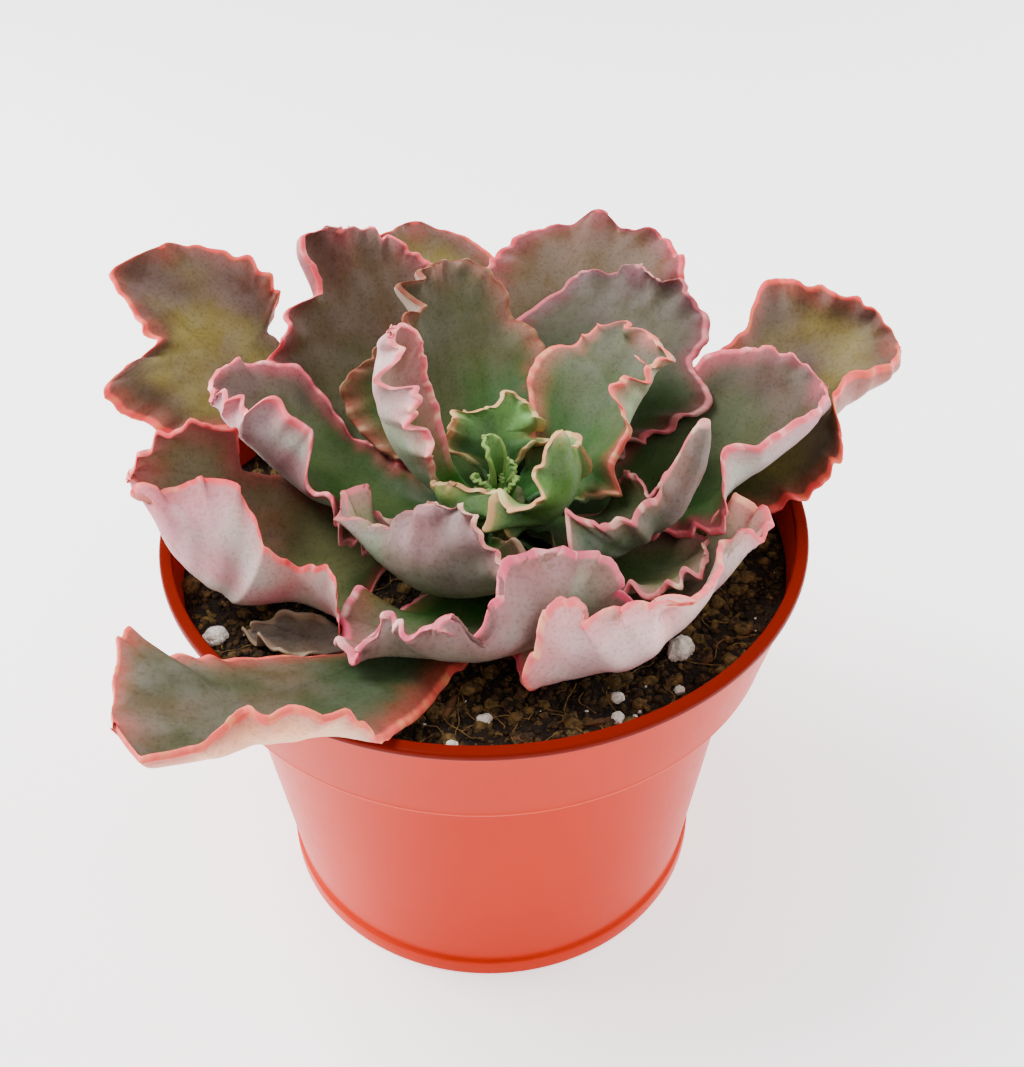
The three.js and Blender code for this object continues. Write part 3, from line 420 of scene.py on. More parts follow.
SUNNED = LeafFinish(
    "sunned_leaf_skin", "#24381e", "#6a4b34", "#2c3f24", "#b6c0a4", "#f3aa7d", "#b86a62", "#a23a34",
    "#cf5048", "#d17d55", blush_strength=0.7)
WITHERED = LeafFinish(
    "withered_leaf_skin", "#4b4038", "#5e554b", "#3c332c", "#5d4c40", "#6a5c50", "#4a3c32", "#7a664e",
    "#93806a", "#7c6450", edge_width=1.3, blush_strength=0.4, mottle=0.9, spots=0.8, base_reach=0.55,
    bloom="#a79c90", bloom_strength=0.2)


@dataclass(frozen=True)
class Grit:
    """A rough mineral or peaty surface in two tones with pits.

    Attributes:
        name: What it is.
        dark: Its darker tone.
        light: Its lighter tone.
        size: The size of its tones, in millimetres.
        pit: The depth of its pits, in millimetres.
        roughness: How matt it is.
        spread: How far the tones part, from 0 to 1.
    """

    name: str
    dark: str
    light: str
    size: float
    pit: float
    roughness: float
    spread: float = 0.3

    def material(self) -> bpy.types.Material:
        """Builds the finish."""
        material, tree, shader = new_material(self.name)
        place = add(tree, "ShaderNodeTexCoord").outputs["Object"]
        tone = add(tree, "ShaderNodeTexNoise", {"Vector": place, "Scale": 1 / (self.size * MM), "Detail": 5.0,
                   "Roughness": 0.65})
        ramp = add(tree, "ShaderNodeValToRGB", {"Fac": tone.outputs["Fac"]},
                   stops=((0.5 - self.spread / 2, self.dark), (0.5 + self.spread / 2, self.light)))
        pits = add(tree, "ShaderNodeTexVoronoi", {"Vector": place, "Scale": 1 / (0.35 * self.size * MM)})
        bump = add(tree, "ShaderNodeBump", {"Strength": 1.0, "Distance": self.pit * MM,
                   "Height": pits.outputs["Distance"]})
        fill(tree, shader, {"Base Color": ramp, "Normal": bump, "Roughness": self.roughness,
             "Specular IOR Level": 0.25})
        return material


PEAT = Grit("damp_peat", "#0c0704", "#26180b", 2.2, 0.4, 0.92)
CRUMB = Grit("peat_crumbs", "#0c0705", "#4c3619", 2.6, 0.2, 0.9, 0.34)
LUMP = Grit("fibrous_lumps", "#120a06", "#755a2e", 1.7, 0.3, 0.9, 0.36)
FIBRE = Grit("coir_fibre", "#3c2912", "#8c6a36", 2.0, 0.05, 0.8, 0.4)
BARK = Grit("bark_chips", "#25160c", "#694628", 1.4, 0.15, 0.85, 0.4)
PERLITE = Grit("puffed_perlite", "#a8a090", "#ece6da", 1.6, 0.22, 0.85, 0.5)
CORK = Grit("corky_stem", "#5b5a3c", "#9aa070", 2.6, 0.15, 0.75, 0.4)


@dataclass(frozen=True)
class MouldedPlastic:
    """Injection-moulded polypropylene: an even colour with a soft shine and faint flow lines.

    Attributes:
        name: What it is.
        colour: Its main colour.
        swirl: The tone that the melt swirls to.
        deep: The deeper tone of its thick lip.
        step_highlight: The paler tone of a painted highlight on the step under the collar.
        roughness: How soft its shine is.
    """

    name: str = "moulded_polypropylene"
    colour: str = "#ac1f05"
    swirl: str = "#b62607"
    deep: str = "#640f04"
    step_highlight: str = "#d9583a"
    roughness: float = 0.3

    def material(self, lip_height: float, step_height: float) -> bpy.types.Material:
        """Builds the finish.

        Args:
            lip_height: Where the deeper tone of the lip starts, in metres.
            step_height: Where the painted highlight under the collar lies, in metres.

        Returns:
            The material.
        """
        material, tree, shader = new_material(self.name)
        place = add(tree, "ShaderNodeTexCoord").outputs["Object"]
        height = add(tree, "ShaderNodeSeparateXYZ", {0: place}).outputs["Z"]
        lip = add(tree, "ShaderNodeMapRange", {"Value": height, "From Min": lip_height - 0.3 * MM,
                  "From Max": lip_height + 0.3 * MM}).outputs["Result"]
        cloud = add(tree, "ShaderNodeTexNoise", {"Vector": place, "Scale": 1 / (30 * MM), "Detail": 2.0})
        shade = add(tree, "ShaderNodeMix", {"Factor": cloud.outputs["Fac"], 6: self.colour, 7: self.swirl},
                    data_type="RGBA").outputs[2]
        colour = add(tree, "ShaderNodeMix", {"Factor": lip, 6: shade, 7: self.deep},
                     data_type="RGBA").outputs[2]
        # A thin paler line on the step under the collar is a painted highlight
        gap = add(tree, "ShaderNodeMath", {0: height, 1: step_height}, operation="SUBTRACT").outputs[0]
        gap = add(tree, "ShaderNodeMath", {0: gap}, operation="ABSOLUTE").outputs[0]
        step_highlight = add(tree, "ShaderNodeMapRange", {
            "Value": gap, "From Min": 0.1 * MM, "From Max": 0.6 * MM,
            "To Min": 0.6, "To Max": 0.0}).outputs["Result"]
        colour = add(tree, "ShaderNodeMix", {"Factor": step_highlight, 6: colour, 7: self.step_highlight},
                     data_type="RGBA").outputs[2]
        haze = add(tree, "ShaderNodeTexNoise", {"Vector": place, "Scale": 1 / (4 * MM), "Detail": 4.0})
        soft = add(tree, "ShaderNodeMapRange", {"Value": haze.outputs["Fac"], "To Min": self.roughness - 0.04,
                   "To Max": self.roughness + 0.07}).outputs["Result"]
        flow = add(tree, "ShaderNodeMapping", {"Vector": place, "Scale": (1.0, 1.0, 0.12)}).outputs[0]
        lines = add(tree, "ShaderNodeTexNoise", {"Vector": flow, "Scale": 1 / (9 * MM), "Detail": 3.0})
        bump = add(tree, "ShaderNodeBump",
                   {"Strength": 1.0, "Distance": 0.05 * MM, "Height": lines.outputs["Fac"]})
        fill(tree, shader, {
            "Base Color": colour, "Roughness": soft, "Normal": bump, "IOR": 1.49, "Specular IOR Level": 0.04,
            "Subsurface Weight": 0.08, "Subsurface Radius": (1.0, 0.35, 0.2), "Subsurface Scale": 1.5 * MM})
        return material


@dataclass(frozen=True)
class Half:
    """One half of a blade, seen from the stem.

    Attributes:
        width: Its width at the widest place.
        fold: How far it folds up from the midrib at the foot, middle and tip.
        curl: The further curl of its outer part at the middle and the tip.
        lift: How far the edge is lifted at steps along it, from the tip towards the foot.
        reach: How far the edge is drawn out at the same steps.
    """

    width: float
    fold: tuple[float, float, float]
    curl: tuple[float, float]
    lift: tuple[float, ...]
    reach: tuple[float, ...]


@dataclass(frozen=True)
class Leaf:
    """One leaf's form: where it sits, how its midrib runs and its two halves.

    Attributes:
        name: The piece and the node that it stands for.
        finish: The colours that it wears.
        slot: The record's material slot.
        azimuth: Its heading at the foot.
        seat: The azimuth of its foot on the stem.
        height: The height of its foot.
        length: The length of its midrib.
        rise: The slope of its midrib at the foot, middle and tip.
        bend: How far the heading turns by the tip.
        twist: How far the blade rolls by the tip.
        widest: The share of the length at which it is widest.
        left: Its left half.
        right: Its right half.
        fullness: How fast it widens.
        bluntness: How full it stays towards the tip.
        foot_width: The width of half its foot.
        seat_radius: How far its foot sits from the stem's middle.
        stem_x: Where the stem's middle is along X.
        start: Where its foot is, if it doesn't sit on the stem.
        thickness: How thick the flesh is at the foot and the tip.
        edge: How thick the rim is.
        frill: How strong the fine frill of the edges is.
        crinkle: How uneven the skins are.
        grid: How many rows and columns a skin has.
    """

    name: str
    finish: "LeafFinish"
    # slot: Its material slot.
    slot: str
    azimuth: float
    seat: float
    height: float
    length: float
    rise: tuple[float, float, float]
    bend: float
    twist: float
    widest: float
    left: Half
    right: Half
    fullness: float = 0.85
    bluntness: float = 2.4
    foot_width: float = 3.2
    seat_radius: float = 7.3
    stem_x: float = 3.0
    start: tuple[float, float] | None = None
    thickness: tuple[float, float] = (2.1, 1.7)
    edge: float = 1.15
    frill: float = 2.0
    crinkle: float = 0.22
    grid: tuple[int, int] = (168, 34)


class Blade:
    """Builds the fine mesh of one leaf: two skins, a rounded rim and a small pointed tip."""

    EDGE_STEP = 18
    EDGE_BELOW_WIDEST = 80
    FOLD_REACH = 0.45
    SECTION_STEPS = 48
    MIDRIB_STEPS = 60
    LAST_ROW = 0.9995
    LIFT_SHARE = 0.75
    RIM_ANGLES = (35, 65, 90, 115, 145)
    # Each frill's length, share of the size and reach in from the edge
    FRILLS = ((13.5, 0.5, 6.5), (8.1, 0.55, 3.6), (5.3, 0.28, 2.2), (3.6, 0.12, 1.2))
    TIP_CROWDING = 1.35
    EDGE_CROWDING = 1.25
    BEAD = 0.16
    BEAD_REACH = 0.9
    FRILL_FOOT = 0.22
    FRILL_ROOM = 12

    def __init__(self, leaf: Leaf, seed: int) -> None:
        """Keeps the leaf's form and draws the phases of its fine frill."""
        self.leaf = leaf
        self.random = np.random.default_rng(seed)
        self.phases = self.random.uniform(0, 2 * np.pi, (2, 8))

    def rows(self) -> np.ndarray:
        """Returns the places of the rows along the leaf, closer together round the tip."""
        widest = self.leaf.widest
        turn = widest / (widest + (1 - widest) * self.TIP_CROWDING)
        t = np.linspace(0, 1, self.leaf.grid[0])
        past = np.clip((t - turn) / (1 - turn), 0, 1)
        s = np.where(t < turn, t / turn * widest, widest + (1 - widest) * np.sin(np.pi / 2 * past))
        return np.minimum(s, self.LAST_ROW)

    def directions(self, s: np.ndarray) -> np.ndarray:
        """Returns the midrib's direction at places along the leaf.

        Args:
            s: Places along the leaf, from 0 at the foot to 1 at the tip.

        Returns:
            A unit vector for each place.
        """
        foot, middle, tip = self.leaf.rise
        rise = np.radians(foot * (1 - s) * (1 - 2 * s) + middle * 4 * s * (1 - s) + tip * s * (2 * s - 1))
        heading = np.radians(self.leaf.azimuth + self.leaf.bend * s * s)
        level = np.cos(rise)
        return np.stack([level * np.cos(heading), level * np.sin(heading), np.sin(rise)], -1)

    def frames(self, s: np.ndarray) -> tuple[np.ndarray, np.ndarray, np.ndarray, np.ndarray]:
        """Places the midrib's moving frame.

        Args:
            s: Places along the leaf, from 0 to 1.

        Returns:
            Points of the midrib and the ways along, to the left and up from the blade.
        """
        leaf = self.leaf
        steps = (np.arange(self.MIDRIB_STEPS) + 0.5) / self.MIDRIB_STEPS
        walk = np.cumsum(self.directions(steps) * leaf.length / self.MIDRIB_STEPS, 0)
        seat = math.radians(leaf.seat)
        foot = leaf.start or (leaf.stem_x + leaf.seat_radius * math.cos(seat),
                              leaf.seat_radius * math.sin(seat))
        line = np.vstack([np.zeros(3), walk]) + np.array([*foot, leaf.height])
        knots = np.linspace(0, 1, self.MIDRIB_STEPS + 1)
        points = np.stack([np.interp(s, knots, line[:, axis]) for axis in range(3)], -1)
        along = self.directions(s)
        heading = np.radians(leaf.azimuth + leaf.bend * s * s)
        level = np.stack([-np.sin(heading), np.cos(heading), 0 * heading], -1)
        above = np.cross(along, level)
        turn = np.radians(leaf.twist) * ease(s)[:, None]
        return (points, along, np.cos(turn) * level + np.sin(turn) * above,
                np.cos(turn) * above - np.sin(turn) * level)

    def half_width(self, s: np.ndarray, half: float) -> np.ndarray:
        """Returns a half's width along the leaf: a narrow foot and a broad end.

        Args:
            s: Places along the leaf.
            half: The greatest width of this half.

        Returns:
            The width at each place.
        """
        leaf = self.leaf
        below = (leaf.foot_width
                 + (half - leaf.foot_width) * ease(np.clip(s / leaf.widest, 0, 1)) ** leaf.fullness)
        past = np.clip((s - leaf.widest) / (1 - leaf.widest), 0, 1)
        return np.where(s < leaf.widest, below, half * np.sqrt(np.clip(1 - past ** leaf.bluntness, 0, 1)))

    def along_edge(self, values: Sequence[float], degrees: np.ndarray) -> np.ndarray:
        """Runs smoothly through stations along the edge, then eases out to nothing.

        Args:
            values: What the stations hold, from the tip towards the foot.
            degrees: Where along the edge it is asked, with 0 at the tip.

        Returns:
            The value at each place.
        """
        stations = np.array([*values, 0.0, 0.0])
        place = np.clip(degrees / self.EDGE_STEP, 0, len(values))
        first = np.minimum(place.astype(int), len(values) - 1)
        return stations[first] + (stations[first + 1] - stations[first]) * ease(place - first)

    def half_surface(self, s: np.ndarray, across: np.ndarray, side: int) -> dict[str, np.ndarray]:
        """Works out one half's middle surface.

        Args:
            s: Places along the leaf.
            across: Places from the midrib, 0, to the edge, 1.
            side: 1 for the left half and -1 for the right one.

        Returns:
            Grids of points, normals, the nearness to the edge and the place along it.
        """
        leaf = self.leaf
        form = leaf.left if side > 0 else leaf.right
        origin, along, out, up = self.frames(s)
        width = self.half_width(s, form.width)
        fold = np.radians(form.fold[0] * (1 - s) ** 2 + form.fold[1] * 2 * s * (1 - s) + form.fold[2] * s * s)
        middle, tip = form.curl
        curl = np.radians(middle * smooth(0.1, 0.55, s) + (tip - middle) * smooth(0.55, 1, s))

        def slope(x: np.ndarray) -> np.ndarray:
            """Returns the angle of the cross-section at places across it."""
            return fold[:, None] * np.minimum(1, x / self.FOLD_REACH) + curl[:, None] * smooth(0.3, 0.95, x)

        knots = np.linspace(0, 1, self.SECTION_STEPS + 1)
        middles = slope((knots[:-1] + knots[1:]) / 2)
        share = width[:, None] / self.SECTION_STEPS
        zero = np.zeros((len(s), 1))
        sideways = np.hstack([zero, np.cumsum(np.cos(middles) * share, 1)])
        upwards = np.hstack([zero, np.cumsum(np.sin(middles) * share, 1)])
        sideways = np.stack([np.interp(across, knots, row) for row in sideways])[..., None]
        upwards = np.stack([np.interp(across, knots, row) for row in upwards])[..., None]
        end = slope(across)[..., None]
        outwards = side * np.cos(end) * out[:, None] + np.sin(end) * up[:, None]
        normal = -side * np.sin(end) * out[:, None] + np.cos(end) * up[:, None]
        past = np.clip((s - leaf.widest) / (1 - leaf.widest), 0, 1)
        spread = across * (width / form.width)[:, None]
        below = (s < leaf.widest)[:, None]
        down = np.clip((leaf.widest - s) / leaf.widest, 0, 1)[:, None]
        round_tip = np.degrees(np.arctan2(spread, past[:, None] + 1e-9))
        degrees = np.where(below, 90 + down * self.EDGE_BELOW_WIDEST, round_tip)
        near_tip = np.sqrt(np.clip(spread ** 2 + past[:, None] ** leaf.bluntness, 0, 1))
        nearness = np.where(below, across, near_tip)
        highest = np.where(below, self.LIFT_SHARE * width[:, None], np.inf)
        deepest = np.where(below, np.maximum(width - leaf.foot_width, 0)[:, None], np.inf)
        lift = np.clip(self.along_edge(form.lift, degrees), -highest, highest) * nearness ** 3
        reach = np.maximum(self.along_edge(form.reach, degrees), -deepest) * nearness ** 2
        turn = np.radians(np.minimum(degrees, 90))[..., None]
        points = origin[:, None] + side * sideways * out[:, None] + upwards * up[:, None]
        points = points + lift[..., None] * normal
        outwards = np.sin(turn) * outwards + np.cos(turn) * along[:, None]
        points = points + reach[..., None] * outwards
        return {"points": points, "normal": normal, "nearness": nearness, "degrees": degrees, "width": width,
                "outwards": outwards}

    def add_frill(self, half: dict[str, np.ndarray], side: int) -> None:
        """Adds the fine frill that runs along the edge, finer than the ruffles.

        Args:
            half: One half's grids; its points are moved.
            side: 1 for the left half and -1 for the right one.
        """
        leaf = self.leaf
        rim = half["points"][:, -1]
        steps = np.r_[0, np.cumsum(np.linalg.norm(np.diff(rim[::-1], axis=0), axis=1))]
        edge_degrees = np.maximum.accumulate(half["degrees"][::-1, -1])
        arc = np.interp(half["degrees"], edge_degrees, steps) * side
        half["arc"] = arc
        phase = self.phases[0]
        vigour = 0.7 + 0.5 * np.sin(arc / 13 + self.phases[1, 0])
        fading = smooth(0, self.FRILL_FOOT, self.rows())[:, None]
        room = np.minimum(1, half["width"] / self.FRILL_ROOM)[:, None]
        size = leaf.frill * vigour * fading * np.maximum(room, 0.35)
        depth = (1 - half["nearness"]) * (leaf.left if side > 0 else leaf.right).width
        for place, (length, share, reach) in enumerate(self.FRILLS):
            near = share * size * np.exp(-(depth / reach) ** 2)
            bent = arc + 2.4 * np.sin(arc / 9 + phase[place + 4])
            up = np.sin(math.tau * bent / length + phase[place])
            out = np.sin(math.tau * bent / (0.93 * length) + self.phases[1, place + 1])
            half["points"] = half["points"] + (near * up)[..., None] * half["normal"]
            half["points"] = half["points"] + (0.5 * near * out)[..., None] * half["outwards"]

    def surface(self) -> dict[str, np.ndarray]:
        """Joins the two halves.

        Returns:
            Grids over rows and columns, the columns running from the left edge to the right.
        """
        s = self.rows()
        count = self.leaf.grid[1] // 2
        across = 1 - (1 - np.linspace(0, 1, count + 1)) ** self.EDGE_CROWDING
        left = self.half_surface(s, across, 1)
        right = self.half_surface(s, across, -1)
        self.add_frill(left, 1)
        self.add_frill(right, -1)
        keys = ("points", "normal", "nearness", "arc")
        grids = {key: np.concatenate([left[key][:, ::-1], right[key][:, 1:]], 1) for key in keys}
        grids["across"] = np.concatenate([-across[::-1], across[1:]])[None] * np.ones((len(s), 1))
        grids["along"] = s[:, None] * np.ones((1, 2 * count + 1))
        grids["points"] = grids["points"] + self.crinkles(grids["points"])[..., None] * grids["normal"]
        return grids

    def crinkles(self, points: np.ndarray) -> np.ndarray:
        """Returns the soft unevenness of the blade at its points, in millimetres.

        Args:
            points: The grid of the blade's points.

        Returns:
            How far each point is moved.
        """
        shift = Vector(self.random.uniform(0, 90, 3))
        flat = points.reshape(-1, 3)
        uneven = [noise.noise(Vector(spot) / 9 + shift)
                  + 0.5 * noise.noise(Vector(spot) / 3.5 + shift) for spot in flat]
        return self.leaf.crinkle * np.array(uneven).reshape(points.shape[:2])

    @staticmethod
    def square_normals(points: np.ndarray, steady: np.ndarray) -> np.ndarray:
        """Works out normals square to a grid, steadied by the blade's own ones.

        Args:
            points: The grid of points.
            steady: The blade's own normals.

        Returns:
            A unit normal for each point.
        """
        down = np.gradient(points, axis=0)
        right = np.gradient(points, axis=1)
        square = np.cross(down, right)
        square /= np.linalg.norm(square, axis=-1, keepdims=True) + 1e-12
        lean = (square * steady).sum(-1, keepdims=True)
        blend = np.where(lean < 0.1, steady, square) + 0.25 * steady
        return blend / np.linalg.norm(blend, axis=-1, keepdims=True)

    @staticmethod
    def edge_distance(points: np.ndarray) -> np.ndarray:
        """Measures how far each grid point lies from the blade's edge, in millimetres.

        Args:
            points: The grid of points.

        Returns:
            The distance of each point.
        """
        steps = np.linalg.norm(np.diff(points, axis=1), axis=-1)
        zero = np.zeros((len(points), 1))
        from_left = np.hstack([zero, np.cumsum(steps, 1)])
        from_right = np.hstack([np.cumsum(steps[:, ::-1], 1)[:, ::-1], zero])
        rows = np.linalg.norm(np.diff(points, axis=0), axis=-1)
        from_tip = np.vstack([np.cumsum(rows[::-1], 0)[::-1], np.zeros((1, points.shape[1]))])
        return np.minimum(np.minimum(from_left, from_right), from_tip)

    def build(self, material: bpy.types.Material) -> bpy.types.Object:
        """Makes the leaf's closed mesh with its attributes.

        Args:
            material: The leaf's finish.

        Returns:
            The finished object.
        """
        leaf = self.leaf
        grids = self.surface()
        points = grids["points"]
        rows, columns = points.shape[:2]
        normals = self.square_normals(points, grids["normal"])
        distance = self.edge_distance(points)
        foot, tip = leaf.thickness
        middle = foot + (tip - foot) * grids["along"]
        bead = self.BEAD * np.exp(-(distance / self.BEAD_REACH) ** 2)
        half = (leaf.edge + (middle - leaf.edge) * (1 - grids["nearness"] ** 2.4)) / 2 + bead
        top = points + normals * half[..., None]
        bottom = points - normals * half[..., None]
        rim = [(0, column) for column in range(columns - 1)]
        rim += [(row, columns - 1) for row in range(rows - 1)]
        rim += [(rows - 1, column) for column in range(columns - 1, 0, -1)]
        rim += [(row, 0) for row in range(rows - 1, 0, -1)]
        row_of, column_of = np.array(rim).T
        edge = points[row_of, column_of]
        inner_row = np.clip(row_of, 1, rows - 2)
        inner_column = np.clip(column_of, 1, columns - 2)
        outward = edge - points[inner_row, inner_column]
        edge_normal = normals[row_of, column_of]
        outward -= (outward * edge_normal).sum(-1, keepdims=True) * edge_normal
        outward /= np.linalg.norm(outward, axis=-1, keepdims=True) + 1e-9
        radius = half[row_of, column_of][:, None]
        rings = []
        for angle in np.radians(self.RIM_ANGLES):
            rings.append(edge + radius * (np.cos(angle) * edge_normal + np.sin(angle) * outward))
        size = rows * columns
        count = len(rim)
        rim_numbers = row_of * columns + column_of
        number = np.arange(size).reshape(rows, columns)
        a, b, c, d = number[:-1, :-1], number[:-1, 1:], number[1:, 1:], number[1:, :-1]
        faces = np.stack([a, d, c, b], -1).reshape(-1, 4)
        faces = np.vstack([faces, faces[:, ::-1] + size])
        loops = [rim_numbers, *(2 * size + k * count + np.arange(count) for k in range(len(rings))),
                 rim_numbers + size]
        strips = [np.stack([u, v, np.roll(v, -1), np.roll(u, -1)], -1) for u, v in zip(loops, loops[1:])]
        faces = np.vstack([faces, *strips])
        everything = np.vstack([top.reshape(-1, 3), bottom.reshape(-1, 3), *rings])
        everything = (everything + [AXIS_X, AXIS_Y, 0]) * MM
        piece = new_piece(f"fine_{leaf.name}", everything, faces, material)
        face_outwards(piece)
        upper = [np.ones(size), np.zeros(size)]
        upper += [np.full(count, (1 + math.cos(math.radians(angle))) / 2) for angle in self.RIM_ANGLES]
        self.store(piece, "upper", np.concatenate(upper))
        for key, grid in {"along": grids["along"], "across": grids["across"], "arc": grids["arc"]}.items():
            ring = grid[row_of, column_of]
            self.store(piece, key, np.concatenate([grid.ravel(), grid.ravel(), *([ring] * len(rings))]))
        flat = distance.ravel()
        self.store(piece, "edge", np.concatenate([flat, flat, *([np.zeros(count)] * len(rings))]))
        return piece

    @staticmethod
    def store(piece: bpy.types.Object, name: str, values: np.ndarray) -> None:
        """Keeps one number for each vertex as a named attribute.

        Args:
            piece: The object.
            name: The attribute's name.
            values: A number for each vertex.
        """
        layer = piece.data.attributes.new(name, "FLOAT", "POINT")
        layer.data.foreach_set("value", values.astype(np.float32))


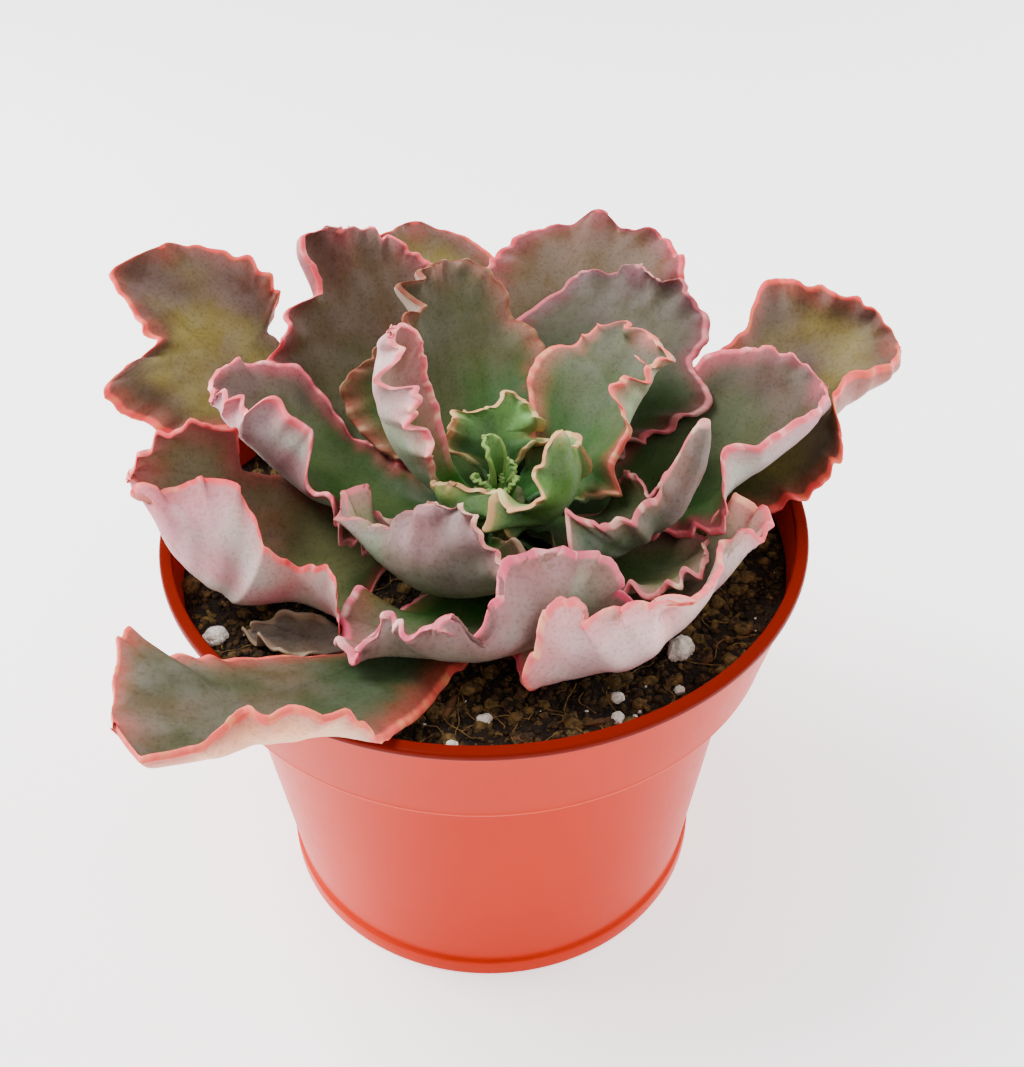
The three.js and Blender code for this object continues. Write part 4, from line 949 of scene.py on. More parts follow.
LEAVES = (
    Leaf(
        "leaf_outer_far_left", OLIVE, "old_leaf", azimuth=133, seat=133, height=100.2, length=112,
        rise=(-5, 18, 54), bend=25, twist=-20, widest=0.74, foot_width=2, frill=1.7,
        left=Half(23.5, (21, 15, 5), (1, 10), (1, -8.5, -5, -2, -2.5, -3.5, 1, -2, 0.5),
        (6.5, 10, 1, -1, 17, 11, -2.5, -12, -5)),
        right=Half(16, (-15, 14, 6), (-30, -9), (1, 1, 1.5, 2.5, 2.5, -6.5, -2, 0, 1),
        (6.5, 3, 2, 2, 2, -8.5, -3.5, -0.5, -1)),
    ),
    Leaf(
        "leaf_outer_right", OLIVE, "old_leaf", azimuth=26, seat=24, height=100.2, length=103,
        rise=(-7, 18, 27), bend=-23, twist=4, widest=0.74, frill=1.6,
        left=Half(28, (30, 18, 22), (-25, 31), (0.5, 0.5, 1, 3, 0.5, -2.5, -1.5),
        (3, 3.5, 3, 3, 7, -1, -1, -0.5)),
        right=Half(27.5, (4, 12, 28), (-15, 48), (0.5, -2.5, 0.5, 4.5, 5.5, -2.5, -2.5, -3.5, -1.5),
        (3, 0, -2, -2.5, -1, 5, 3, 1.5, -6)),
    ),
    Leaf(
        "leaf_outer_back", OLIVE, "old_leaf", azimuth=101, seat=98, height=100.2, length=102,
        rise=(-6, 18, 37), bend=3, twist=6, widest=0.75, foot_width=2,
        left=Half(24.5, (11, 15, 8), (0, 1), (1.5, 0.5, 0, 0, 0, 0, 0, -0.5, -2),
        (1.5, 0.5, 0.5, 0, 0, 0, 0, 0, -0.5)),
        right=Half(24, (30, 19, 5), (-2, -5), (1.5, 0, -0.5, -0.5, 0, 0, 0, -0.5, -0.5),
                   (1.5, 0, -0.5, -0.5)),
    ),
    Leaf(
        "leaf_outer_back_right", MAUVE, "old_leaf", azimuth=72, seat=66, height=102.6, length=101,
        rise=(-8, 20, 40), bend=1, twist=-2, widest=0.75,
        left=Half(27, (30, 19, 4), (3, -1), (3.5, -0.5, -0.5, 0, 1), (1.5, -1.5, -0.5, 0, 0.5)),
        right=Half(28.5, (24, 17, 6), (0, 10), (3.5, 1, -1.5, -0.5, 0, 0, 0, 0, -0.5), (1.5, -2, 1.5, 0.5)),
    ),
    Leaf(
        "leaf_lowest_front_left", SUNNED, "old_leaf", azimuth=-116, seat=-116, height=100.2, length=100,
        rise=(-11, 15, 16), bend=-45, twist=4, widest=0.8, bluntness=3.2, frill=0.9,
        left=Half(22, (4, 6, 33), (-38, 25), (3.5, -4, -2, 6.5, 6.5, 8.5, 0.5, -2, -0.5),
        (9.5, 7, 1.5, -6.5, -1.5, 7, -2.5, -2, 1.5)),
        right=Half(22, (3, 3, 13), (-5, -18), (3.5, 1, 2, 4.5, -3, -1, -1.5, -3, 0.5),
        (9.5, 8.5, 9.5, 12, 8.5, 1, -1, -3, -11)),
    ),
    Leaf(
        "leaf_outer_front_right", PALE, "old_leaf", azimuth=-55, seat=-55, height=100.2, length=63,
        rise=(4, 6, 81), bend=9, twist=5, widest=0.66, fullness=0.75, frill=1.8,
        left=Half(36, (-5, -3, 10), (46, -2), (7.5, 1.5, 1, 4.5, -6, -0.5, -2, -1.5, -0.5),
        (0, -2.5, -2, -1.5, 8, 8.5, -1, -2.5, -4.5)),
        right=Half(32, (23, 8, 27), (-7, 64), (7.5, 0.5, -2.5, 4, -1, -1.5, -0.5, -2, 1),
        (0, 5, 4.5, 8, 2, -4, -5, -4, -6)),
    ),
    Leaf(
        "leaf_lower_right", DUSKY, "old_leaf", azimuth=-28, seat=-28, height=102.6, length=49,
        rise=(-5, 7, 52), bend=-2, twist=-4, widest=0.7,
        left=Half(14, (22, 20, 21), (-6, 6), (0.5, 1.5, 0, 0, 0.5, 0, -0.5, -2, -1.5),
        (0, -1, -1, -2, -1, 1, 0, -1, -0.5)),
        right=Half(18.5, (25, 26, 20), (2, -1), (0.5, -1, -0.5, 0, 0.5), (0, 0.5)),
    ),
    Leaf(
        "leaf_outer_left", ROSE, "old_leaf", azimuth=-184, seat=-184, height=102.6, length=85,
        rise=(-19, 24, 29), bend=32, twist=-51, widest=0.66, frill=2.0,
        left=Half(53.5, (-4, 11, 56), (153, 170), (2.5, 4.5, 5, 6.5, 1, -3, 0.5, -18.5),
        (-2, -2, -0.5, 3.5, 4.5, -10, -11, -2.5, -8.5)),
        right=Half(17.5, (7, -4, 22), (-30, 38), (2.5, 3, 2.5, 6, 8, -5.5, -6, -5, -2),
        (-2, 0, 0.5, 3, -2, -8.5, -4.5, -4, -1.5)),
    ),
    Leaf(
        "leaf_outer_back_left", MAUVE, "old_leaf", azimuth=117, seat=120, height=103.2, length=89,
        rise=(-8, 25, 71), bend=6, twist=-11, widest=0.74,
        left=Half(30, (24, -1, 17), (-8, 46), (3, -1.5, 4, 0.5, 4, 2, -2, -7, -2.5),
        (5.5, 7.5, -6, -3.5, -3.5, -0.5, 1, 1.5, 0.5)),
        right=Half(23.5, (35, 20, 1), (4, -9), (3, -0.5, -1, -0.5), (5.5, 3.5, 1.5, 0.5)),
    ),
    Leaf(
        "leaf_middle_front", SLATE, "leaf", azimuth=-98, seat=-98, height=102.8, length=61, rise=(-7, 14, 78),
        bend=-11, twist=7, widest=0.66, fullness=0.75,
        left=Half(31, (38, 31, 16), (19, 81), (3.5, 2.5, 3.5, 8, -3.5, -6.5, -1, 3.5, 6),
        (3, -5, 1.5, 6, 8.5, 3, -1.5, -5, -6)),
        right=Half(27, (3, 10, 15), (8, -3), (3.5, 0.5, 4, -5, -2.5, 1.5, 6, -3.5, -2.5),
        (3, -1.5, -2, -2.5, -0.5, 1, 3.5, 0, -0.5)),
    ),
    Leaf(
        "leaf_middle_right", LILAC, "leaf", azimuth=11, seat=8, height=105.2, length=81, rise=(-27, 24, 42),
        bend=-1, twist=1, widest=0.7, frill=1.0,
        left=Half(28.5, (39, 29, 19), (-8, -3), (1.5, 0.5, 1, 0, 0.5, -0.5, -0.5, -0.5),
        (1.5, 1.5, 1.5, 0.5, 1.5, 0.5)),
        right=Half(27, (28, 43, 39), (10, 23), (1.5, -1, -1.5, 0.5, 1.5, 6, -7.5, -4, -2),
        (1.5, 1, 1, 0.5, 1, 4, 0.5, -0.5, -0.5)),
    ),
    Leaf(
        "leaf_middle_left", LILAC, "leaf", azimuth=159, seat=159, height=105.4, length=73, rise=(-19, 23, 58),
        bend=10, twist=4, widest=0.68, frill=2.1,
        left=Half(30.5, (25, 48, 44), (53, 18), (-3, -1.5, -2, 3, 2, -0.5, -8.5, -10, -16),
        (-2, 0.5, 1, 3, 2, 2.5, -4, 5.5, 5.5)),
        right=Half(23.5, (38, 28, 5), (-16, -14), (-3, -2.5, 0, 2, 3, -0.5, -4, -1.5),
        (-2, 1, 1.5, 0.5, 0.5, -1, -3.5, -1)),
    ),
    Leaf(
        "leaf_middle_back_right", PLUM, "leaf", azimuth=60, seat=60, height=105.2, length=80,
        rise=(-4, 19, 49), bend=0, twist=-9, widest=0.72,
        left=Half(27.5, (30, 20, 4), (2, -11), (1.5, -1, 0.5, -1, -1, 0.5, 0.5),
                  (2, 0, 0.5, -1, -1, 0.5, 0.5)),
        right=Half(30, (28, 16, 13), (-9, 18), (1.5, 4, 2.5, -1, -1, -0.5, 0.5, -0.5, -0.5),
        (2, -0.5, 1.5, 0, -2, -5, 7.5, 3.5)),
    ),
    Leaf(
        "leaf_middle_back", FERN, "leaf", azimuth=101, seat=108, height=105.8, length=65, rise=(1, 31, 60),
        bend=5, twist=13, widest=0.58, bluntness=1.6, frill=2.8,
        left=Half(28, (16, 15, 19), (-18, 27), (-1, 0, 3.5, 4, 1, -1.5, -4, -4, -1.5),
        (4, 1.5, -3, -4.5, -2.5, 2, 2.5, 3, 0.5)),
        right=Half(24.5, (38, 24, 9), (1, -14), (-1, 3.5, 3), (4, 4, 2.5, -1.5, 0.5, -2, -1)),
    ),
    Leaf(
        "leaf_inner_right", MOSS, "leaf", azimuth=-24, seat=-24, height=107.8, length=56, rise=(-25, 34, 87),
        bend=36, twist=-10, widest=0.5, frill=1.6, bluntness=0.6,
        left=Half(19, (27, 25, 49), (33, 80), (0, 2, -1.5, 1.5, 0.5, 0, -2.5, -7, -3.5),
        (9, 0, -4, -5, -3, -1, -1, -2.5, -1.5)),
        right=Half(28, (18, 23, 52), (19, 95), (0, -2, 2, -1, 1.5, 6, -6.5, -2, 4),
        (9, 0, -3, -2, -1, 3, 1.5, -0.5, -1)),
    ),
    Leaf(
        "leaf_inner_front", DUSKY, "leaf", azimuth=-120, seat=-120, height=105.4, length=46,
        rise=(-16, 32, 124), bend=12, twist=-2, widest=0.64, frill=3.0,
        left=Half(31, (46, 32, 13), (-8, -36), (4, -1.5, -2, -0.5, 0, 0, 0.5, 1, 4),
        (6.5, 8.5, 1.5, -0.5, -0.5, 0, 1, 3.5, 5.5)),
        right=Half(26, (40, 33, 26), (20, 26), (4, 9, 2.5, -5.5, -2.5, 2.5, -1.5, 8.5, 3.5),
        (6.5, 5, -0.5, 0.5, 4.5, 4, 0, -2.5, -0.5)),
    ),
    Leaf(
        "leaf_inner_back_right", SAGE, "young_leaf", azimuth=40, seat=40, height=107.8, length=51,
        rise=(6, 35, 62), bend=-5, twist=-8, widest=0.72, frill=2.6,
        left=Half(23, (45, 35, 11), (1, -17), (-1.5, 0, 1, -0.5, -2, 0, 0.5, 0, -1),
        (1.5, 1.5, 0, -1.5, -2.5, 0, 1, 0, -0.5)),
        right=Half(27.5, (32, 53, 37), (20, 22), (-1.5, -4, -2, 0, 3, 4, -4, -4.5, -12),
        (1.5, 1.5, 0.5, 0, 0.5, 1, 0.5, 1.5, 4)),
    ),
    Leaf(
        "leaf_inner_back_left", SHELL, "young_leaf", azimuth=151, seat=158, height=107.6, length=52,
        rise=(14, 68, 98), bend=-28, twist=0, widest=0.6, frill=2.0,
        left=Half(24, (45, 88, 82), (4, 0), (2, 1.5, -2, 2.5, -2, 2.5, -2, 1), (1, 1, 0, 2, -2, -2, 2)),
        right=Half(11.5, (40, 34, 29), (-2, -1), (3,), (1, 1.5, 1.5, -1, -2, -1.5, -0.5)),
    ),
    Leaf(
        "leaf_heart_back", YOUNG, "young_leaf", azimuth=84, seat=84, height=110.6, length=23,
        rise=(4, 28, 70), bend=-3, twist=6, widest=0.66, frill=3.2,
        left=Half(16, (37, 28, 30), (4, 10), (0.5, 1, 0.5, 0, 1, 1, 0, -4.5, -1),
        (2.5, -1, -1, 0, -1, -1.5, 0, 2, 0.5)),
        right=Half(11.5, (42, 32, 26), (2, 1), (0.5, -0.5, 0.5, 0.5, 0.5, 0.5, -2, 3, 1),
        (2.5, 1.5, -0.5, -0.5, -0.5, -2.5, 0.5, 1.5)),
    ),
    Leaf(
        "leaf_heart_right", YOUNG, "young_leaf", azimuth=-41, seat=-41, height=110.6, length=28,
        rise=(1, 60, 106), bend=7, twist=2, widest=0.66, frill=2.6,
        left=Half(20, (28, 37, 36), (3, -8), (0.5, 0, -0.5, -1.5, 0.5, 2, -2.5, -3.5, -0.5),
        (8.5, 1.5, -1, -1.5, 0.5, 1.5, 0, -0.5)),
        right=Half(16, (32, 38, 37), (16, -4), (0.5, 2, -0.5, -1.5, -1, 1, 2.5, -1.5, -3),
        (8.5, 2, -1.5, -2, -2, -1, 1.5, 7.5, 1.5)),
    ),
    Leaf(
        "leaf_heart_left", YOUNG, "young_leaf", azimuth=-143, seat=-143, height=109.5, length=15,
        rise=(2, 64, 88), bend=7, twist=12, widest=0.66, frill=3.0,
        left=Half(15, (40, 36, 30), (1, -24), (2, 1.5, 2.5, 0.5), (1.5, 0.5, 1.5, 0.5)),
        right=Half(7.8, (40, 35, 28), (0, -12), (2, 1), (1.5, 1)),
    ),
)


def rounded(corners: Sequence[tuple[float, float, float]], steps: int = 5) -> np.ndarray:
    """Rounds the corners of a profile.

    Args:
        corners: Radius, height and rounding of each corner.
        steps: Points round each corner.

    Returns:
        The profile's points.
    """
    spots = [np.array(corner[:2], float) for corner in corners]
    line = [spots[0]]
    for before, here, after, corner in zip(spots, spots[1:], spots[2:], corners[1:]):
        first, second = before - here, after - here
        reach = min(corner[2], np.linalg.norm(first) / 2.2, np.linalg.norm(second) / 2.2)
        start = here + first / np.linalg.norm(first) * reach
        end = here + second / np.linalg.norm(second) * reach
        for t in np.linspace(0, 1, steps):
            line.append((1 - t) ** 2 * start + 2 * t * (1 - t) * here + t * t * end)
    line.append(spots[-1])
    return np.array(line)


@dataclass
class NurseryPot:
    """The thin moulded pot: lip, collar band, tapered body and foot ring, in millimetres."""

    rim: float = 76.0
    height: float = 108.0
    lip_width: float = 3.0
    lip_thickness: float = 1.6
    collar_height: float = 27.0
    collar_foot: float = 69.5
    body_top: float = 63.5
    body_foot: float = 54.3
    ring: float = 55.3
    ring_height: float = 5.0
    wall: float = 1.4
    floor_height: float = 3.2
    floor_thickness: float = 1.8
    hole_radius: float = 5.0
    hole_circle: float = 34.0
    holes: int = 6
    notch_width: float = 20.0
    notch_height: float = 3.2
    notches: int = 4
    notch_start: float = -101.0
    sides: int = 256
    finish: MouldedPlastic = field(default_factory=MouldedPlastic)

    @property
    def ledge(self) -> float:
        """The height of the ledge under the collar."""
        return self.height - self.collar_height

    def inner_collar(self, height: float) -> float:
        """Returns the collar's inner radius at a height.

        Args:
            height: The height over the ground.

        Returns:
            The radius.
        """
        low = self.ledge + self.wall
        share = (height - low) / (self.height - self.lip_thickness - 1 - low)
        return self.collar_foot - self.wall + share * (self.rim - self.collar_foot)

    def profile(self) -> np.ndarray:
        """Returns the wall's section, from the middle of the underside round to the middle of the floor."""
        wall = self.wall
        floor = self.floor_height + self.floor_thickness
        return rounded((
            (0, self.floor_height, 0), (self.ring - 2 * wall, self.floor_height, 0.5),
            (self.ring - 2 * wall, 0, 0.5), (self.ring, 0, 0.8), (self.ring, self.ring_height, 0.7),
            (self.body_foot, self.ring_height + 0.4, 0.4),
            (self.body_foot + (self.body_top - self.body_foot) * 0.5, (self.ring_height + self.ledge) / 2, 1),
            (self.body_top, self.ledge, 0.6), (self.collar_foot, self.ledge, 0.55),
            (self.collar_foot + 0.15, self.ledge + 1.4, 0.5),
            (self.rim - 1.0, self.height - self.lip_thickness - 0.9, 0.5),
            (self.rim, self.height - self.lip_thickness, 0.5), (self.rim, self.height, 0.65),
            (self.rim - self.lip_width, self.height, 0.6),
            (self.rim - self.lip_width, self.height - self.lip_thickness, 0.4),
            (self.rim - wall, self.height - self.lip_thickness - 1, 0.5),
            (self.collar_foot - wall, self.ledge + wall, 0.5), (self.body_top - wall, self.ledge + wall, 0.8),
            (self.body_foot - wall, floor, 1.5), (0, floor, 0),
        ))

    def turning_tree(self, material: bpy.types.Material) -> bpy.types.NodeTree:
        """Builds the tree that turns the section round and cuts the holes and notches.

        Args:
            material: The pot's finish.

        Returns:
            The geometry tree.
        """
        tree, given, result = new_tree("turned_pot", {
            "Sides": ("NodeSocketInt", 64), "Profile Points": ("NodeSocketInt", 8),
            "Holes": ("NodeSocketInt", 6), "Hole Radius": ("NodeSocketFloat", 0.005),
            "Hole Circle": ("NodeSocketFloat", 0.03), "Notches": ("NodeSocketInt", 4),
            "Notch Width": ("NodeSocketFloat", 0.02), "Notch Height": ("NodeSocketFloat", 0.003),
            "Notch Circle": ("NodeSocketFloat", 0.05), "Notch Start": ("NodeSocketFloat", 0.0),
        })
        read = given.outputs
        columns = add(tree, "ShaderNodeMath", {0: read["Sides"], 1: 1.0}, operation="ADD")
        grid = add(tree, "GeometryNodeMeshGrid", {"Size X": 1.0, "Size Y": 1.0, "Vertices X": columns,
                   "Vertices Y": read["Profile Points"]})
        index = add(tree, "GeometryNodeInputIndex").outputs[0]
        turn = add(tree, "ShaderNodeMath", {0: index, 1: 0.25}, operation="ADD")
        turn = add(tree, "ShaderNodeMath", {0: turn, 1: read["Profile Points"]}, operation="DIVIDE")
        turn = add(tree, "ShaderNodeMath", {0: turn}, operation="FLOOR")
        first = add(tree, "ShaderNodeMath", {0: turn, 1: read["Profile Points"]}, operation="MULTIPLY")
        place = add(tree, "ShaderNodeMath", {0: index, 1: first}, operation="SUBTRACT")
        spot = add(tree, "GeometryNodeSampleIndex", {"Geometry": read["Geometry"],
                   "Value": add(tree, "GeometryNodeInputPosition").outputs[0], "Index": place},
                   data_type="FLOAT_VECTOR").outputs[0]
        spot = add(tree, "ShaderNodeSeparateXYZ", {0: spot}).outputs
        angle = add(tree, "ShaderNodeMath", {0: turn, 1: math.tau}, operation="MULTIPLY")
        angle = add(tree, "ShaderNodeMath", {0: angle, 1: read["Sides"]}, operation="DIVIDE")
        x, y = (add(tree, "ShaderNodeMath",
                    {0: spot["X"], 1: add(tree, "ShaderNodeMath", {0: angle}, operation=kind)},
                    operation="MULTIPLY") for kind in ("COSINE", "SINE"))
        position = add(tree, "ShaderNodeCombineXYZ", {"X": x, "Y": y, "Z": spot["Z"]})
        shell = add(tree, "GeometryNodeSetPosition", {"Geometry": grid.outputs["Mesh"],
                    "Position": position.outputs[0]}).outputs[0]
        shell = add(tree, "GeometryNodeMergeByDistance", {"Geometry": shell, "Distance": 1e-6}).outputs[0]

        def ring_of(cutter: object, count: object, radius: object, start: object) -> object:
            """Stands copies of a cutter round the axis.

            Args:
                cutter: The shape to stand there.
                count: How many.
                radius: How far from the axis.
                start: The angle of the first.

            Returns:
                The copies.
            """
            spin = add(tree, "ShaderNodeMath", {0: index, 1: math.tau}, operation="MULTIPLY")
            spin = add(tree, "ShaderNodeMath", {0: spin, 1: count}, operation="DIVIDE")
            spin = add(tree, "ShaderNodeMath", {0: spin, 1: start}, operation="ADD")
            circle = add(tree, "GeometryNodeMeshCircle", {"Vertices": count, "Radius": radius}).outputs[0]
            x, y = (add(tree, "ShaderNodeMath",
                        {0: radius, 1: add(tree, "ShaderNodeMath", {0: spin}, operation=kind)},
                        operation="MULTIPLY") for kind in ("COSINE", "SINE"))
            where = add(tree, "ShaderNodeCombineXYZ", {"X": x, "Y": y})
            circle = add(tree, "GeometryNodeSetPosition", {"Geometry": circle, "Position": where}).outputs[0]
            facing = add(tree, "ShaderNodeCombineXYZ", {"Z": spin}).outputs[0]
            return add(tree, "GeometryNodeInstanceOnPoints", {"Points": circle, "Instance": cutter,
                       "Rotation": facing}).outputs[0]

        drill = add(tree, "GeometryNodeMeshCylinder", {"Vertices": 48, "Radius": read["Hole Radius"],
                    "Depth": 40 * MM}).outputs["Mesh"]
        tall = add(tree, "ShaderNodeMath", {0: read["Notch Height"], 1: 2.0}, operation="MULTIPLY")
        size = add(tree, "ShaderNodeCombineXYZ", {"X": 12 * MM, "Y": read["Notch Width"], "Z": tall})
        block = add(tree, "GeometryNodeMeshCube", {"Size": size}).outputs["Mesh"]
        tools = add(tree, "GeometryNodeJoinGeometry")
        tree.links.new(ring_of(drill, read["Holes"], read["Hole Circle"], 0.0), tools.inputs[0])
        tree.links.new(ring_of(block, read["Notches"], read["Notch Circle"], read["Notch Start"]),
                       tools.inputs[0])
        tools = add(tree, "GeometryNodeRealizeInstances", {0: tools.outputs[0]}).outputs[0]
        cut = add(tree, "GeometryNodeMeshBoolean", {"Mesh 1": shell, "Mesh 2": tools},
                  operation="DIFFERENCE").outputs[0]
        cut = add(tree, "GeometryNodeRealizeInstances", {0: cut}).outputs[0]
        done = add(tree, "GeometryNodeSetMaterial", {"Geometry": cut, "Material": material}).outputs[0]
        tree.links.new(done, result.inputs[0])
        return tree

    def build(self) -> bpy.types.Object:
        """Makes the pot.

        Returns:
            The finished pot.
        """
        profile = self.profile()
        material = self.finish.material((self.height - self.lip_thickness - 0.5) * MM,
                                        (self.ledge + 0.3) * MM)
        points = np.stack([profile[:, 0], 0 * profile[:, 0], profile[:, 1]], -1) * MM
        pot = new_piece("moulded_pot", points, [], material)
        apply_tree(pot, self.turning_tree(material), {
            "Sides": self.sides, "Profile Points": len(profile), "Holes": self.holes,
            "Hole Radius": self.hole_radius * MM, "Hole Circle": self.hole_circle * MM, "Notches": self.notches,
            "Notch Width": self.notch_width * MM, "Notch Height": self.notch_height * MM,
            "Notch Circle": self.ring * MM, "Notch Start": math.radians(self.notch_start),
        })
        pot.data.transform(Matrix.Translation((AXIS_X * MM, AXIS_Y * MM, 0)))
        face_outwards(pot)
        pot.data.polygons.foreach_set("use_smooth", [True] * len(pot.data.polygons))
        pot.data.set_sharp_from_angle(angle=math.radians(40))
        return pot


@dataclass
class SoilBed:
    """Dark peat potting mix, a little rough, with crumbs, coir fibres, bark chips and white specks."""

    pot: NurseryPot
    edge: float = 97.0
    crown: float = 0.6
    clearance: float = 0.3
    sides: int = 220
    rings: int = 84

    def level(self, x: float, y: float) -> float:
        """Returns the soil's height at a place from the pot's axis, in millimetres.

        Args:
            x: How far along X from the axis.
            y: How far along Y from the axis.

        Returns:
            The height.
        """
        swell = self.crown * (1 - math.hypot(x, y) / self.pot.inner_collar(self.edge))
        lumps = math.sin(x / 5.1 + 1.3) * math.cos(y / 4.3) + math.sin((x + y) / 8.7) * 0.6
        return self.edge + swell + 0.42 * lumps

    def surface(self, x: float, y: float) -> float:
        """Returns the height with its fine roughness.

        Args:
            x: How far along X from the axis.
            y: How far along Y from the axis.

        Returns:
            The height.
        """
        spot = Vector((x, y, 3.0))
        return (self.level(x, y) + 1.1 * noise.noise(spot / 4.2) + 0.7 * noise.noise(spot / 1.7)
                + 0.3 * noise.noise(spot))

    def top_points(self, radius: float) -> np.ndarray:
        """Returns the rings of the top's points, from the edge inwards, with the middle last.

        Args:
            radius: The radius of the top's edge.

        Returns:
            The points, from the edge inwards.
        """
        spots = []
        for ring in range(self.rings):
            size = radius * (1 - ring / self.rings)
            fade = min(1.0, (radius - size) / 1.5)
            for side in range(self.sides):
                angle = math.tau * side / self.sides
                x, y = size * math.cos(angle), size * math.sin(angle)
                spots.append((x, y, self.level(x, y) + fade * (self.surface(x, y) - self.level(x, y))))
        spots.append((0.0, 0.0, self.level(0, 0)))
        return np.array(spots)

    def bed(self, material: bpy.types.Material) -> bpy.types.Object:
        """Makes the closed body of soil that fills the pot.

        Args:
            material: The peat's finish.

        Returns:
            The bed.
        """
        pot, gap = self.pot, self.clearance
        floor = pot.floor_height + pot.floor_thickness + gap
        ledge = pot.ledge + pot.wall + gap
        walls = ((pot.collar_foot - pot.wall - gap, ledge), (pot.body_top - pot.wall - gap, ledge),
                 (pot.body_foot - pot.wall - gap, floor))
        top = self.top_points(pot.inner_collar(self.edge) - gap)
        angles = np.linspace(0, math.tau, self.sides, endpoint=False)
        below = [np.stack([r * np.cos(angles), r * np.sin(angles), np.full(self.sides, z)], -1)
                 for r, z in walls]
        points = np.vstack([top, *below, [[0, 0, floor]]])
        around = np.arange(self.sides)
        following = np.roll(around, -1)
        faces = []
        for ring in range(self.rings - 1):
            a, b = ring * self.sides, (ring + 1) * self.sides
            faces += np.stack([a + around, a + following, b + following, b + around], -1).tolist()
        last = (self.rings - 1) * self.sides
        middle = self.rings * self.sides
        faces += np.stack([last + around, last + following, np.full(self.sides, middle)], -1).tolist()
        starts = [0, *(middle + 1 + k * self.sides for k in range(len(walls)))]
        for a, b in zip(starts, starts[1:]):
            faces += np.stack([a + following, a + around, b + around, b + following], -1).tolist()
        bottom = len(points) - 1
        faces += np.stack([starts[-1] + following, starts[-1] + around, np.full(self.sides, bottom)],
                          -1).tolist()
        piece = new_piece("soil_bed", (points + [AXIS_X, AXIS_Y, 0]) * MM, faces, material)
        face_outwards(piece)
        return piece

    def carrier(self, name: str, inner: float = 18.0) -> bpy.types.Object:
        """Makes a plain copy of the top between the stem and the wall, for the scattering trees.

        Args:
            name: The piece that will come of it.
            inner: Where it starts, in millimetres from the axis.

        Returns:
            An open ring that follows the soil.
        """
        outer = self.pot.inner_collar(self.edge) - 1.6
        sides, rings = 96, 36
        spots = []
        for ring in range(rings + 1):
            size = inner + (outer - inner) * ring / rings
            for side in range(sides):
                x, y = size * math.cos(math.tau * side / sides), size * math.sin(math.tau * side / sides)
                spots.append((x, y, self.surface(x, y)))
        around = np.arange(sides)
        faces = []
        for ring in range(rings):
            a, b = ring * sides, (ring + 1) * sides
            faces += np.stack([a + around, b + around, b + np.roll(around, -1), a + np.roll(around, -1)],
                              -1).tolist()
        return new_piece(name, (np.array(spots) + [AXIS_X, AXIS_Y, 0]) * MM, faces, PEAT.material())


class Grain(Enum):
    """What the scattered bits of soil are."""

    ROUND = "round"
    CHIP = "chip"


